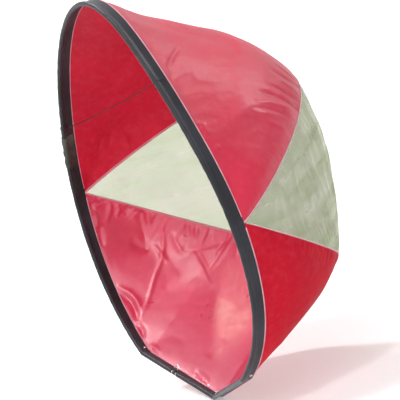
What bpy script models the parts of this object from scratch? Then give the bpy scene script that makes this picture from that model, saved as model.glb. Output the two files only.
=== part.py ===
"""Downwind sail for a canoe: a folding hoop in a nylon sleeve with a deep cloth bowl.

Frame: metres, +Z up. The mouth of the bowl lies near the XZ plane and faces -Y, the bowl
opens towards +Y, and the origin is at the tip of the V at the bottom, where the sail
stands on the deck. The sail is the same to the left (-X) and to the right (+X), apart
from the batten joint, the notch and the line ties.
"""

import math

import bmesh
import bpy
import numpy as np
from mathutils import Matrix, Vector

# Hoop: the lip is a polar curve round the hoop's centre, from the lower corner to the top
HOOP_RADIUS = 0.535
HOOP_CENTRE_SHARE = 0.9346
HOOP_CENTRE_HEIGHT = HOOP_RADIUS * HOOP_CENTRE_SHARE
HOOP_RADIUS_SHARES = (0.961, 1.007, 0.966, 0.931, 1.011, 1.121)
HOOP_WARP = 0.027
HOOP_WARP_SHARES = (-1.0, -0.26, 0.11, 0.15, 0.26, 0.52)
CORNER_ANGLE = -50.7
TOP_ANGLE = 90.0
TIP_SET_BACK = 0.005

# Window: a clear lens from side to side between an upper and a lower seam
WINDOW_CORNER_ANGLE = 2.9
WINDOW_TOP_DEPTH = 0.492
WINDOW_TOP_HEIGHT = 0.731
WINDOW_BOTTOM_DEPTH = 0.386
WINDOW_BOTTOM_HEIGHT = 0.272
WINDOW_TOP_CURVE_SHARES = (1.114, 1.481, 1.013)
WINDOW_BOTTOM_CURVE_SHARES = (0.727, 0.893, 1.028)

# Bowl: how far each panel swells past the straight lines between its two edges
UPPER_BULGE = 0.040
UPPER_BULGE_SHARES = (0.0, 0.55, 0.68, 1.0)
UPPER_BULGE_PEAK_SHARE = 0.717
WINDOW_BULGE = 0.060
WINDOW_BULGE_SHARES = (0.0, 0.03, 1.0)
WINDOW_BULGE_PEAK_SHARE = 0.5
LOWER_BULGE = 0.027
LOWER_BULGE_SHARES = (0.0, 0.78, 1.0, 0.70, 0.67)
LOWER_BULGE_PEAK_SHARE = 0.655
LOWER_CORNER_SHARE = 0.62
BULGE_LEAN_SHARE = 0.5

# Cloth and the puckers that run from the window's lower seam
CLOTH_THICKNESS = 0.0008
WINDOW_THICKNESS = 0.0006
SEAM_GAP = 0.0008
CORNER_TRIM_SHARE = 0.02
PUCKER_HEIGHT = 0.0035
PUCKER_COUNT = 7
PUCKER_REACH_SHARE = 0.30
FOLD_HEIGHT = 0.006
FOLD_WIDTH_SHARE = 0.045
FOLD_PLACE_SHARES = (0.36, 0.56)

# Sleeve: a nylon band folded round the batten and sewn to the panels at its back edge
SLEEVE_DEPTH = 0.038
BASE_SLEEVE_DEPTH = 0.030
SLEEVE_NOSE_RADIUS = 0.0065
SLEEVE_WALL = 0.0008
SLEEVE_POCKET_DEPTH = 0.0185
SLEEVE_FLARE_SHARES = (0.30, 0.22, 0.10, 0.03, 0.0, 0.0)
MITRE_GAP = 0.0004

# Battens, elbows and the ferrule that joins the batten ends
BATTEN_RADIUS = 0.0030
SOCKET_CLEARANCE = 0.0004
ELBOW_WALL = 0.0009
ELBOW_LEG = 0.032
ELBOW_BEND_LENGTH = 0.005
BATTEN_END_GAP = 0.002
FERRULE_LENGTH = 0.060
FERRULE_WALL = 0.0009

# Notch in the left base sleeve, where the batten shows and the deck loop sits
NOTCH_START_SHARE = 0.41
NOTCH_END_SHARE = 0.49
NOTCH_DEPTH = 0.0145

# Binding tapes over the seams
TAPE_HALF_WIDTH = 0.003
TAPE_THICKNESS = 0.0006
TAPE_GAP = 0.0003

# Deck loop round the ferrule, the tip tab and their two steel rings
LOOP_WIDTH = 0.010
LOOP_THICKNESS = 0.0014
LOOP_CLEARANCE = 0.0004
LOOP_LEAN = 70.0
RING_WIRE_RADIUS = 0.0014
RING_WIDTH = 0.017
RING_DEPTH = 0.012
TAB_LENGTH = 0.020
TIP_RING_LIFT_SHARE = 0.5
RING_BOW_POWER_SHARE = 0.8

# Eyelets through the sleeve at the corners
EYELET_RADIUS = 0.0038
EYELET_HOLE_RADIUS = 0.0020
EYELET_FLANGE = 0.0008
EYELET_SET_BACK = SLEEVE_POCKET_DEPTH + EYELET_RADIUS + EYELET_FLANGE / 2
EYELET_FROM_CORNER = 0.020

# Line across the mouth, its ties and the wrap on the left rim
TIE_RIGHT_ANGLE = 51.5
TIE_LEFT_ANGLE = 27.5
TIE_WIDTH = 0.007
LINE_RADIUS = 0.0013
LINE_POINT_COUNT = 41
LINE_SAG = 0.004
KNOT_RADIUS = 0.0048
KNOT_HALF_LENGTH = 0.009
KNOT_SEAT_RIGHT = 0.0008
KNOT_SEAT_LEFT = 0.0005
KNOT_RADIUS_SHARES = (0.5, 0.9, 1.0, 0.86, 1.0, 0.86, 1.0, 0.9, 0.5)
LINE_SET_BACK = 0.012
TAIL_LENGTH = 0.024
TAIL_DROP_SHARE = 0.45
WRAP_START_ANGLE = 13.0
WRAP_END_ANGLE = 24.1
WRAP_THICKNESS = 0.0012

# Fineness of the curved pieces
UPPER_STEP_COUNT = 20
LOWER_STEP_COUNT = 12
BASE_STEP_COUNT = 6
NOSE_STEP_COUNT = 6
TUBE_SIDE_COUNT = 8
TUBE_ROUNDNESS_COUNT = 2
UPPER_ROW_COUNT = 8
LOWER_ROW_COUNT = 7
WINDOW_ROW_COUNT = 5
PUCKER_SPLIT_COUNT = 2
BEND_STEP_COUNT = 4
EYE_STEP_COUNT = 8
RING_STEP_COUNT = 10
TAIL_STEP_COUNT = 8
SLOPE_STEP_SHARE = 0.005
SHARP_ANGLE = 35.0
SOLID_MERGE = 0.00005

COLLECTION_NAME = "downwind_sail"
CUTTER_COLLECTION_NAME = "cutters"


def clear_scene():
    for item in list(bpy.data.objects):
        bpy.data.objects.remove(item, do_unlink=True)


def new_collection(name):
    collection = bpy.data.collections.new(name)
    bpy.context.scene.collection.children.link(collection)
    return collection


def new_material(name, colour, roughness, metallic=0.0, alpha=1.0):
    material = bpy.data.materials.new(name)
    material.use_nodes = True
    shader = material.node_tree.nodes["Principled BSDF"]
    shader.inputs["Base Color"].default_value = (*colour, 1.0)
    shader.inputs["Roughness"].default_value = roughness
    shader.inputs["Metallic"].default_value = metallic
    shader.inputs["Alpha"].default_value = alpha
    material.diffuse_color = (*colour, alpha)
    return material


# Curves and frames

def spline_through(knots, values, places):
    """Cubic spline, free at its first knot and level at its last."""
    knots = np.asarray(knots, float)
    values = np.asarray(values, float)
    count = len(knots)
    steps = np.diff(knots)
    slopes = np.diff(values) / steps
    matrix = np.zeros((count, count))
    right = np.zeros(count)
    matrix[0, 0] = 1.0
    for i in range(1, count - 1):
        matrix[i, i - 1] = steps[i - 1]
        matrix[i, i] = 2 * (steps[i - 1] + steps[i])
        matrix[i, i + 1] = steps[i]
        right[i] = 6 * (slopes[i] - slopes[i - 1])
    matrix[-1, -2] = steps[-1]
    matrix[-1, -1] = 2 * steps[-1]
    right[-1] = -6 * slopes[-1]
    bend = np.linalg.solve(matrix, right)
    places = np.atleast_1d(np.asarray(places, float))
    spans = np.clip(np.searchsorted(knots, places, side="right") - 1, 0, count - 2)
    low = places - knots[spans]
    high = knots[spans + 1] - places
    width = steps[spans]
    return (
        bend[spans] * high ** 3 / (6 * width)
        + bend[spans + 1] * low ** 3 / (6 * width)
        + (values[spans] / width - bend[spans] * width / 6) * high
        + (values[spans + 1] / width - bend[spans + 1] * width / 6) * low
    )


def unit(vector):
    return vector / np.linalg.norm(vector)


def hoop_knots():
    return np.linspace(CORNER_ANGLE, TOP_ANGLE, len(HOOP_RADIUS_SHARES))


def lip_point(angle):
    """Point on the right half of the hoop's front lip."""
    radius = HOOP_RADIUS * spline_through(hoop_knots(), HOOP_RADIUS_SHARES, angle)[0]
    warp = HOOP_WARP * spline_through(hoop_knots(), HOOP_WARP_SHARES, angle)[0]
    turn = math.radians(angle)
    return np.array((radius * math.cos(turn), warp,
                     HOOP_CENTRE_HEIGHT + radius * math.sin(turn)))


def back_direction(point, flare):
    """The way the sleeve's band runs back from the lip, flared away from the centre."""
    around = unit(np.array((point[0], 0.0, point[2] - HOOP_CENTRE_HEIGHT)))
    return unit(np.array((0.0, 1.0, 0.0)) + flare * around)


def arc_frame(angle):
    """Lip point with its directions: along the rim upwards, back, and outwards."""
    step = (TOP_ANGLE - CORNER_ANGLE) * SLOPE_STEP_SHARE / 4
    ahead = lip_point(min(angle + step, TOP_ANGLE))
    behind = lip_point(max(angle - step, CORNER_ANGLE))
    along = unit(ahead - behind)
    point = lip_point(angle)
    back = back_direction(point, np.interp(angle, hoop_knots(), SLEEVE_FLARE_SHARES))
    return point, along, back, unit(np.cross(back, along))


def tip_point():
    return np.array((0.0, TIP_SET_BACK, 0.0))


def base_length():
    return np.linalg.norm(lip_point(CORNER_ANGLE) - tip_point())


def base_frame(share):
    """Frame on the right base edge: share 0 at the corner, 1 at the tip."""
    corner = lip_point(CORNER_ANGLE)
    point = corner + (tip_point() - corner) * share
    along = unit(corner - tip_point())
    back = back_direction(point, SLEEVE_FLARE_SHARES[0])
    return point, along, back, unit(np.cross(back, along))


def mirrored(points):
    points = np.array(points, float)
    points[..., 0] *= -1
    return points


def mirror_frame(frame):
    """The same frame on the left half."""
    point, along, back, out = (mirrored(part) for part in frame)
    return point, -along, back, out


def place(frame, forward, back, out):
    """A point given by its distances along a frame's three directions."""
    return frame[0] + frame[1] * forward + frame[2] * back + frame[3] * out


def seam_point(frame, depth):
    return frame[0] + frame[2] * depth


def arc_depth(angle):
    """Sleeve depth, which narrows in the lower part of the rim."""
    share = np.interp(angle, (CORNER_ANGLE, WINDOW_CORNER_ANGLE), (0.0, 1.0))
    return BASE_SLEEVE_DEPTH + (SLEEVE_DEPTH - BASE_SLEEVE_DEPTH) * share


def arc_seam(angle):
    return seam_point(arc_frame(angle), arc_depth(angle))


def base_seam(share):
    return seam_point(base_frame(share), BASE_SLEEVE_DEPTH)


# Mesh helpers

def link_object(name, data, material, collection):
    item = bpy.data.objects.new(name, data)
    data.materials.append(material)
    collection.objects.link(item)
    return item


def link_mesh(name, points, faces, material, collection):
    mesh = bpy.data.meshes.new(name)
    mesh.from_pydata([tuple(point) for point in points], [], faces)
    mesh.update()
    work = bmesh.new()
    work.from_mesh(mesh)
    bmesh.ops.remove_doubles(work, verts=work.verts, dist=SOLID_MERGE)
    bmesh.ops.recalc_face_normals(work, faces=work.faces)
    work.to_mesh(mesh)
    work.free()
    mesh.shade_smooth()
    mesh.set_sharp_from_angle(angle=math.radians(SHARP_ANGLE))
    return link_object(name, mesh, material, collection)


def ring_faces(first, second, count):
    return [(first + i, first + (i + 1) % count, second + (i + 1) % count, second + i)
            for i in range(count)]


def hollow_loft(name, frames, outers, inners, material, collection):
    """Open-ended tube: an outer and an inner section carried along the frames."""
    points = []
    for frame, outer, inner in zip(frames, outers, inners):
        points += [place(frame, 0.0, back, out) for back, out in outer]
        points += [place(frame, 0.0, back, out) for back, out in inner]
    size = len(outers[0])
    faces = []
    for row in range(len(frames) - 1):
        here = row * 2 * size
        ahead = here + 2 * size
        faces += ring_faces(here, ahead, size)
        faces += [face[::-1] for face in ring_faces(here + size, ahead + size, size)]
    last = (len(frames) - 1) * 2 * size
    faces += [face[::-1] for face in ring_faces(0, size, size)]
    faces += ring_faces(last, last + size, size)
    return link_mesh(name, points, faces, material, collection)


def solid_loft(name, sections, material, collection):
    """Closed body through sections of equal point counts, with flat ends."""
    points = [point for section in sections for point in section]
    size = len(sections[0])
    faces = []
    for row in range(len(sections) - 1):
        faces += ring_faces(row * size, (row + 1) * size, size)
    faces.append(tuple(range(size))[::-1])
    faces.append(tuple(range((len(sections) - 1) * size, len(sections) * size)))
    return link_mesh(name, points, faces, material, collection)


def tube(name, points, radius, material, collection, closed=False):
    """Round bar, wire or cord along the points, with capped ends or as a closed ring."""
    curve = bpy.data.curves.new(name, "CURVE")
    curve.dimensions = "3D"
    curve.bevel_depth = radius
    curve.bevel_resolution = TUBE_ROUNDNESS_COUNT
    curve.use_fill_caps = True
    path = curve.splines.new("POLY")
    path.points.add(len(points) - 1)
    path.use_cyclic_u = closed
    for spot, point in zip(path.points, points):
        spot.co = (*point, 1.0)
    return link_object(name, curve, material, collection)


def flat_shape(name, outlines, width, material, collection):
    """Filled outline with its holes, extruded to both sides of its plane."""
    curve = bpy.data.curves.new(name, "CURVE")
    curve.dimensions = "2D"
    curve.fill_mode = "BOTH"
    curve.extrude = width / 2
    for outline in outlines:
        path = curve.splines.new("POLY")
        path.points.add(len(outline) - 1)
        path.use_cyclic_u = True
        for spot, point in zip(path.points, outline):
            spot.co = (*point, 0.0, 1.0)
    return link_object(name, curve, material, collection)


def turned(name, profile, steps, material, collection, closed=False):
    """Profile of (radius, height) points turned about the object's Z axis."""
    mesh = bpy.data.meshes.new(name)
    count = len(profile)
    edges = [(i, i + 1) for i in range(count - 1)]
    edges += [(count - 1, 0)] if closed else []
    mesh.from_pydata([(radius, 0.0, height) for radius, height in profile], edges, [])
    item = link_object(name, mesh, material, collection)
    turn = item.modifiers.new("turn", "SCREW")
    turn.steps = steps
    turn.render_steps = steps
    turn.use_merge_vertices = True
    turn.merge_threshold = SOLID_MERGE
    return item


def stand(item, origin, axis, side):
    """Put the object's origin in its place, its Z along the axis and its X to the side."""
    axis = unit(axis)
    across = unit(np.cross(axis, side))
    turn = Matrix((np.cross(across, axis), across, axis)).transposed().to_4x4()
    item.matrix_world = Matrix.Translation(Vector(origin)) @ turn
    return item


def cutter(name, work, material, collection):
    """Object of a mesh that only cuts others."""
    mesh = bpy.data.meshes.new(name)
    work.to_mesh(mesh)
    work.free()
    item = link_object(name, mesh, material, collection)
    item.hide_render = True
    item.display_type = "WIRE"
    return item


def cut_away(item, tool):
    cut = item.modifiers.new(tool.name, "BOOLEAN")
    cut.operation = "DIFFERENCE"
    cut.object = tool
    cut.solver = "EXACT"


def circle(radius, sides, centre=0.0):
    return [(centre + radius * math.cos(2 * math.pi * i / sides),
             radius * math.sin(2 * math.pi * i / sides)) for i in range(sides)]


# Sleeve

def sleeve_section(nose_radius, flat_half, flat_start, flat_end):
    """Teardrop: a round nose about the batten, then a flat band of two plies."""
    section = []
    for i in range(NOSE_STEP_COUNT + 1):
        turn = math.pi / 2 + math.pi * i / NOSE_STEP_COUNT
        section.append((SLEEVE_NOSE_RADIUS + nose_radius * math.cos(turn),
                        nose_radius * math.sin(turn)))
    section += [(flat_start, -flat_half), (flat_end, -flat_half),
                (flat_end, flat_half), (flat_start, flat_half)]
    return section


def outer_section(depth):
    return sleeve_section(SLEEVE_NOSE_RADIUS, SLEEVE_WALL, SLEEVE_POCKET_DEPTH, depth)


def inner_section():
    return sleeve_section(SLEEVE_NOSE_RADIUS - SLEEVE_WALL, SLEEVE_WALL / 8,
                          SLEEVE_POCKET_DEPTH - 4 * SLEEVE_WALL,
                          SLEEVE_POCKET_DEPTH - SLEEVE_WALL)


def mitre(first, second):
    """End frames of two sleeves that meet at a bend, in their common mitre plane."""
    along = unit(first[1] + second[1])
    back = first[2]
    out = unit(np.cross(back, along)) / along.dot(first[1])
    return ((first[0] + along * MITRE_GAP, along, back, out),
            (second[0] - along * MITRE_GAP, along, back, out))


def corner_mitre():
    return mitre(arc_frame(CORNER_ANGLE), base_frame(0.0))


def tip_mitre():
    base = base_frame(1.0)
    return mitre(base, mirror_frame(base))


def arc_stations():
    """Angles of the sections that the sleeve is lofted through."""
    lower = np.linspace(CORNER_ANGLE, WINDOW_CORNER_ANGLE, LOWER_STEP_COUNT + 1)
    upper = np.linspace(WINDOW_CORNER_ANGLE, TOP_ANGLE, UPPER_STEP_COUNT + 1)
    return list(lower) + list(upper[1:])


def arc_station_frames():
    return [corner_mitre()[0]] + [arc_frame(angle) for angle in arc_stations()[1:]]


def base_station_frames():
    frames = [corner_mitre()[1]]
    frames += [base_frame(i / BASE_STEP_COUNT) for i in range(1, BASE_STEP_COUNT)]
    frames.append(tip_mitre()[0])
    return frames


def between(first, second, share):
    return tuple(low + (high - low) * share for low, high in zip(first, second))


def sleeve_frame(angle):
    """Frame on the flat facets of the lofted rim sleeve."""
    stations, frames = arc_stations(), arc_station_frames()
    spot = int(np.clip(np.searchsorted(stations, angle) - 1, 0, len(stations) - 2))
    share = (angle - stations[spot]) / (stations[spot + 1] - stations[spot])
    return between(frames[spot], frames[spot + 1], share)


def base_sleeve_frame(share):
    """Frame on the flat facets of the lofted base sleeve."""
    frames = base_station_frames()
    spot = min(int(share * BASE_STEP_COUNT), BASE_STEP_COUNT - 1)
    return between(frames[spot], frames[spot + 1], share * BASE_STEP_COUNT - spot)


def build_rim_sleeve(material, collection):
    right = arc_station_frames()
    depths = [arc_depth(angle) for angle in arc_stations()]
    frames = right + [mirror_frame(frame) for frame in right[-2::-1]]
    depths = depths + depths[-2::-1]
    return hollow_loft("rim_sleeve", frames, [outer_section(depth) for depth in depths],
                       [inner_section()] * len(frames), material, collection)


def build_base_sleeve(name, frames, material, collection):
    sections = [outer_section(BASE_SLEEVE_DEPTH)] * len(frames)
    pockets = [inner_section()] * len(frames)
    return hollow_loft(name, frames, sections, pockets, material, collection)


def cut_notch(sleeve, material, cutters):
    """Open the nose of the left base sleeve, so that the batten shows."""
    middle = (NOTCH_START_SHARE + NOTCH_END_SHARE) / 2
    frame = mirror_frame(base_frame(middle))
    overrun = SLEEVE_NOSE_RADIUS
    size = (NOTCH_DEPTH + overrun, 2 * SLEEVE_NOSE_RADIUS + 2 * overrun,
            base_length() * (NOTCH_END_SHARE - NOTCH_START_SHARE))
    work = bmesh.new()
    bmesh.ops.create_cube(work, size=1.0)
    bmesh.ops.scale(work, vec=size, verts=work.verts)
    tool = cutter("notch_cutter", work, material, cutters)
    centre = place(frame, 0.0, (NOTCH_DEPTH - overrun) / 2, 0.0)
    cut_away(sleeve, stand(tool, centre, np.cross(frame[2], frame[3]), frame[2]))


# Battens

def batten_axis(frame, along=0.0):
    return place(frame, along, SLEEVE_NOSE_RADIUS, 0.0)


def corner_axis():
    """Where the arc's and the base's batten lines meet, near the corner."""
    return (batten_axis(arc_frame(CORNER_ANGLE)) + batten_axis(base_frame(0.0))) / 2


def tip_axis():
    point = batten_axis(base_frame(1.0))
    return np.array((0.0, point[1], point[2]))


def arc_batten_points():
    """Batten centre line of the right half, from the elbow to the top."""
    start = CORNER_ANGLE + math.degrees(end_setback() / HOOP_RADIUS)
    angles = np.linspace(start, TOP_ANGLE, UPPER_STEP_COUNT + LOWER_STEP_COUNT + 1)
    points = [batten_axis(arc_frame(angle)) for angle in angles]
    points[-1][0] = 0.0
    return points


def build_hoop_batten(material, collection):
    right = arc_batten_points()
    return tube("hoop_batten", right + [mirrored(point) for point in right[-2::-1]],
                BATTEN_RADIUS, material, collection)


def base_axis_point(share):
    start, end = corner_axis(), tip_axis()
    return start + (end - start) * share


def base_axis_length():
    return np.linalg.norm(corner_axis() - tip_axis())


def end_setback():
    """How far a batten's end stops short of the middle of its elbow."""
    return BATTEN_END_GAP + ELBOW_BEND_LENGTH


def end_share():
    return end_setback() / base_axis_length()


def joint_share():
    return (NOTCH_START_SHARE + NOTCH_END_SHARE) / 2


def build_base_battens(material, collection):
    gap = BATTEN_END_GAP / 2 / base_axis_length()
    spans = {
        "base_batten_right": (end_share(), 1 - end_share(), False),
        "base_batten_left_outer": (end_share(), joint_share() - gap, True),
        "base_batten_left_inner": (joint_share() + gap, 1 - end_share(), True),
    }
    for name, (start, end, left) in spans.items():
        points = [base_axis_point(share) for share in (start, end)]
        points = [mirrored(point) for point in points] if left else points
        tube(name, points, BATTEN_RADIUS, material, collection)


def socket_tube(name, points, material, collection):
    """Hollow tube along the points, its bore clear of the batten."""
    item = tube(name, points, BATTEN_RADIUS + SOCKET_CLEARANCE + ELBOW_WALL, material,
                collection)
    item.data.use_fill_caps = False
    bore = item.modifiers.new("bore", "SOLIDIFY")
    bore.thickness = ELBOW_WALL
    bore.offset = -1.0
    return item


def bend_path(first, corner, second):
    """Straight leg, rounded bend, straight leg."""
    path = [first]
    start = corner + unit(first - corner) * ELBOW_BEND_LENGTH
    end = corner + unit(second - corner) * ELBOW_BEND_LENGTH
    for i in range(BEND_STEP_COUNT + 1):
        share = i / BEND_STEP_COUNT
        path.append((1 - share) ** 2 * start + 2 * share * (1 - share) * corner
                    + share ** 2 * end)
    path.append(second)
    return path


def build_elbows(material, collection):
    batten_end, batten_next = arc_batten_points()[:2]
    arc_end = batten_end + unit(batten_next - batten_end) * (ELBOW_LEG - end_setback())
    base_end = base_axis_point(ELBOW_LEG / base_axis_length())
    path = [arc_end] + bend_path(batten_end, corner_axis(), base_end)
    socket_tube("corner_elbow_right", path, material, collection)
    left = [mirrored(point) for point in path]
    socket_tube("corner_elbow_left", left, material, collection)
    leg = base_axis_point(1 - ELBOW_LEG / base_axis_length())
    path = bend_path(leg, tip_axis(), mirrored(leg))
    socket_tube("tip_elbow", path, material, collection)


def build_ferrule(material, collection):
    """Sleeve over the two ends of the left base battens."""
    bore = BATTEN_RADIUS + SOCKET_CLEARANCE
    outer = bore + FERRULE_WALL
    half = FERRULE_LENGTH / 2
    profile = [(outer, half), (outer, -half), (bore, -half), (bore, half)]
    item = turned("batten_ferrule", profile, TUBE_SIDE_COUNT, material, collection, closed=True)
    middle, along, back = deck_loop_frame()[:3]
    stand(item, middle, along, back)


# Panels

def window_edge(share, depth, height, curve):
    """Seam of the window: share 0 at the right corner, 1 at the middle of the bowl."""
    corner = arc_seam(WINDOW_CORNER_ANGLE)
    turn = share * math.pi / 2
    reach = abs(math.sin(turn)) ** curve[1]
    return np.array((corner[0] * max(math.cos(turn), 0.0) ** curve[0],
                     corner[1] + (depth - corner[1]) * reach,
                     corner[2] + (height - corner[2]) * reach ** curve[2]))


def window_top(share):
    return window_edge(share, WINDOW_TOP_DEPTH, WINDOW_TOP_HEIGHT, WINDOW_TOP_CURVE_SHARES)


def window_bottom(share):
    return window_edge(share, WINDOW_BOTTOM_DEPTH, WINDOW_BOTTOM_HEIGHT,
                       WINDOW_BOTTOM_CURVE_SHARES)


def upper_rim(share):
    return arc_seam(WINDOW_CORNER_ANGLE + (TOP_ANGLE - WINDOW_CORNER_ANGLE) * share)


def lower_rim(share):
    if share <= LOWER_CORNER_SHARE:
        part = share / LOWER_CORNER_SHARE
        return arc_seam(WINDOW_CORNER_ANGLE + (CORNER_ANGLE - WINDOW_CORNER_ANGLE) * part)
    point = base_seam((share - LOWER_CORNER_SHARE) / (1 - LOWER_CORNER_SHARE))
    if share >= 1.0:
        point[0] = 0.0
    return point


def swell(part, peak):
    """Zero at both edges and one at the peak."""
    near = max(peak / (1 - peak), 1.0)
    far = max((1 - peak) / peak, 1.0)
    top = near / (near + far)
    return part ** near * (1 - part) ** far / (top ** near * (1 - top) ** far)


def outward_from_centre(point):
    around = np.array((point[0], 0.0, point[2] - HOOP_CENTRE_HEIGHT))
    around = unit(around)
    around[1] = BULGE_LEAN_SHARE
    return unit(around)


def upper_surface(share, part):
    """Part 0 at the rim, 1 at the window's upper seam."""
    start, end = upper_rim(share), window_top(share)
    places = np.linspace(0.0, 1.0, len(UPPER_BULGE_SHARES))
    height = UPPER_BULGE * np.interp(share, places, UPPER_BULGE_SHARES)
    lift = height * swell(part, UPPER_BULGE_PEAK_SHARE)
    return start + (end - start) * part + outward_from_centre(start) * lift


def window_surface(share, part):
    start, end = window_top(share), window_bottom(share)
    places = np.linspace(0.0, 1.0, len(WINDOW_BULGE_SHARES))
    height = WINDOW_BULGE * np.interp(share, places, WINDOW_BULGE_SHARES)
    turn = share * math.pi / 2
    out = np.array((math.cos(turn), math.sin(turn), 0.0))
    return start + (end - start) * part + out * height * swell(part, WINDOW_BULGE_PEAK_SHARE)


def pucker(share, part):
    """Small gathers under the window's seam, and the folds that run down from it."""
    edge = 1 - part
    fade = math.exp(-edge / PUCKER_REACH_SHARE) * min(1.0, edge / (PUCKER_REACH_SHARE / 4))
    side = math.sin(math.pi * share)
    height = PUCKER_HEIGHT * math.cos(2 * math.pi * PUCKER_COUNT * share) * fade * side
    for spot in FOLD_PLACE_SHARES:
        lean = spot + (1 - spot) * edge / (2 * len(FOLD_PLACE_SHARES))
        bell = math.exp(-((share - lean) / FOLD_WIDTH_SHARE) ** 2)
        height -= FOLD_HEIGHT * bell * math.sin(math.pi * part) ** 2 * side
    return height


def lower_surface(share, part):
    """Part 0 at the rim, 1 at the window's lower seam."""
    start, end = lower_rim(share), window_bottom(share)
    places = np.linspace(0.0, 1.0, len(LOWER_BULGE_SHARES))
    height = LOWER_BULGE * np.interp(share, places, LOWER_BULGE_SHARES)
    lift = height * swell(part, LOWER_BULGE_PEAK_SHARE) + pucker(share, part)
    return start + (end - start) * part + outward_from_centre(start) * lift


def surface_normal(surface, share, part):
    step = SLOPE_STEP_SHARE
    low, high = max(share - step, step), min(share + step, 1.0)
    near, far = max(part - step, 0.0), min(part + step, 1.0)
    across = surface(high, part) - surface(low, part)
    down = surface(share, far) - surface(share, near)
    normal = unit(np.cross(across, down))
    inside = np.array((0.0, 0.0, HOOP_CENTRE_HEIGHT))
    if normal.dot(surface(share, part) - inside) < 0:
        normal = -normal
    if share >= 1.0:
        normal = unit(normal * np.array((0.0, 1.0, 1.0)))
    return normal


def upper_shares():
    """Columns of the upper panel and the window, one at each sleeve station."""
    return [CORNER_TRIM_SHARE] + [i / UPPER_STEP_COUNT for i in range(1, UPPER_STEP_COUNT + 1)]


def lower_shares():
    """Columns of the lower panel, split finer than the sleeve for the puckers."""
    sides = LOWER_STEP_COUNT * PUCKER_SPLIT_COUNT
    base = BASE_STEP_COUNT * PUCKER_SPLIT_COUNT
    shares = [CORNER_TRIM_SHARE / 2]
    shares += [LOWER_CORNER_SHARE * i / sides for i in range(1, sides + 1)]
    shares += [LOWER_CORNER_SHARE + (1 - LOWER_CORNER_SHARE) * i / base
               for i in range(1, base + 1)]
    return shares


def build_panel(name, surface, shares, rows, thickness, material, collection):
    """Half panel between its seams, mirrored and given the cloth's thickness outwards."""
    points = []
    columns = len(shares) - 1
    for share in shares:
        length = np.linalg.norm(surface(share, 1.0) - surface(share, 0.0))
        trim = SEAM_GAP / length
        for row in range(rows + 1):
            part = trim + (1 - 2 * trim) * row / rows
            points.append(surface(share, part))
    faces = []
    for column in range(columns):
        for row in range(rows):
            corner = column * (rows + 1) + row
            faces.append((corner, corner + 1, corner + rows + 2, corner + rows + 1))
    mesh = bpy.data.meshes.new(name)
    mesh.from_pydata([tuple(point) for point in points], [], faces)
    mesh.update()
    face = mesh.polygons[len(mesh.polygons) // 2]
    inside = Vector((0.0, 0.0, HOOP_CENTRE_HEIGHT))
    if face.normal.dot(face.center - inside) < 0:
        mesh.flip_normals()
    mesh.shade_smooth()
    item = bpy.data.objects.new(name, mesh)
    item.data.materials.append(material)
    collection.objects.link(item)
    halves = item.modifiers.new("halves", "MIRROR")
    halves.use_axis[0] = True
    halves.merge_threshold = SOLID_MERGE
    solid = item.modifiers.new("cloth", "SOLIDIFY")
    solid.thickness = thickness
    solid.offset = 1.0
    return item


# Binding tapes

def tape(name, rails, material, collection, whole=True):
    """Folded tape over a seam: three rails, thickened outwards."""
    rows = rails + [[mirrored(point) for point in row] for row in rails[-2::-1]]
    rows = rows if whole else rails
    sections = []
    for i, row in enumerate(rows):
        before, after = rows[max(i - 1, 0)], rows[min(i + 1, len(rows) - 1)]
        along = unit(after[1] - before[1])
        first = unit(np.cross(along, row[1] - row[0]))
        last = unit(np.cross(along, row[2] - row[1]))
        away = row[1] - np.array((0.0, 0.0, HOOP_CENTRE_HEIGHT))
        lift = math.copysign(TAPE_THICKNESS, (first + last).dot(away))
        sections.append([*row, row[2] + last * lift, row[1] + unit(first + last) * lift,
                         row[0] + first * lift])
    return solid_loft(name, sections, material, collection)


def edge_rail(surface, rows, share, start):
    """Point and normal on a panel's outermost facets, half the tape in from its edge."""
    edge, inner = (0.0, 1 / rows) if start else (1.0, 1 - 1 / rows)
    near = surface(share, edge)
    step = unit(surface(share, inner) - near)
    normal = surface_normal(surface, share, edge)
    normal = unit(normal - step * normal.dot(step))
    return near + step * TAPE_HALF_WIDTH + normal * (CLOTH_THICKNESS + TAPE_GAP), normal


def window_rows(shares, surface, rows, seam_at_start):
    """Rails on both sides of a window seam, lifted clear of the cloth."""
    rails = []
    for share in shares:
        panel, normal_a = edge_rail(surface, rows, share, False)
        window, normal_b = edge_rail(window_surface, WINDOW_ROW_COUNT, share, seam_at_start)
        lift = unit(normal_a + normal_b) * (CLOTH_THICKNESS + TAPE_GAP)
        rails.append([panel, surface(share, 1.0) + lift, window])
    return rails


def merged(first, *lists):
    """All the shares of the lists from the first one on, in order."""
    return sorted({round(share, 6) for row in lists for share in row if share >= first})


def rim_rows(frames, depths, surface, rows, shares):
    """Rails from the sleeve's tail over the seam to the panel."""
    rails = []
    for frame, depth, share in zip(frames, depths, shares):
        tail = place(frame, 0.0, depth - TAPE_HALF_WIDTH, SLEEVE_WALL + TAPE_GAP)
        panel, normal = edge_rail(surface, rows, share, True)
        lift = unit(frame[3] + normal) * (SLEEVE_WALL + 2 * TAPE_GAP)
        rails.append([tail, seam_point(frame, depth) + lift, panel])
    return rails


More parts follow.
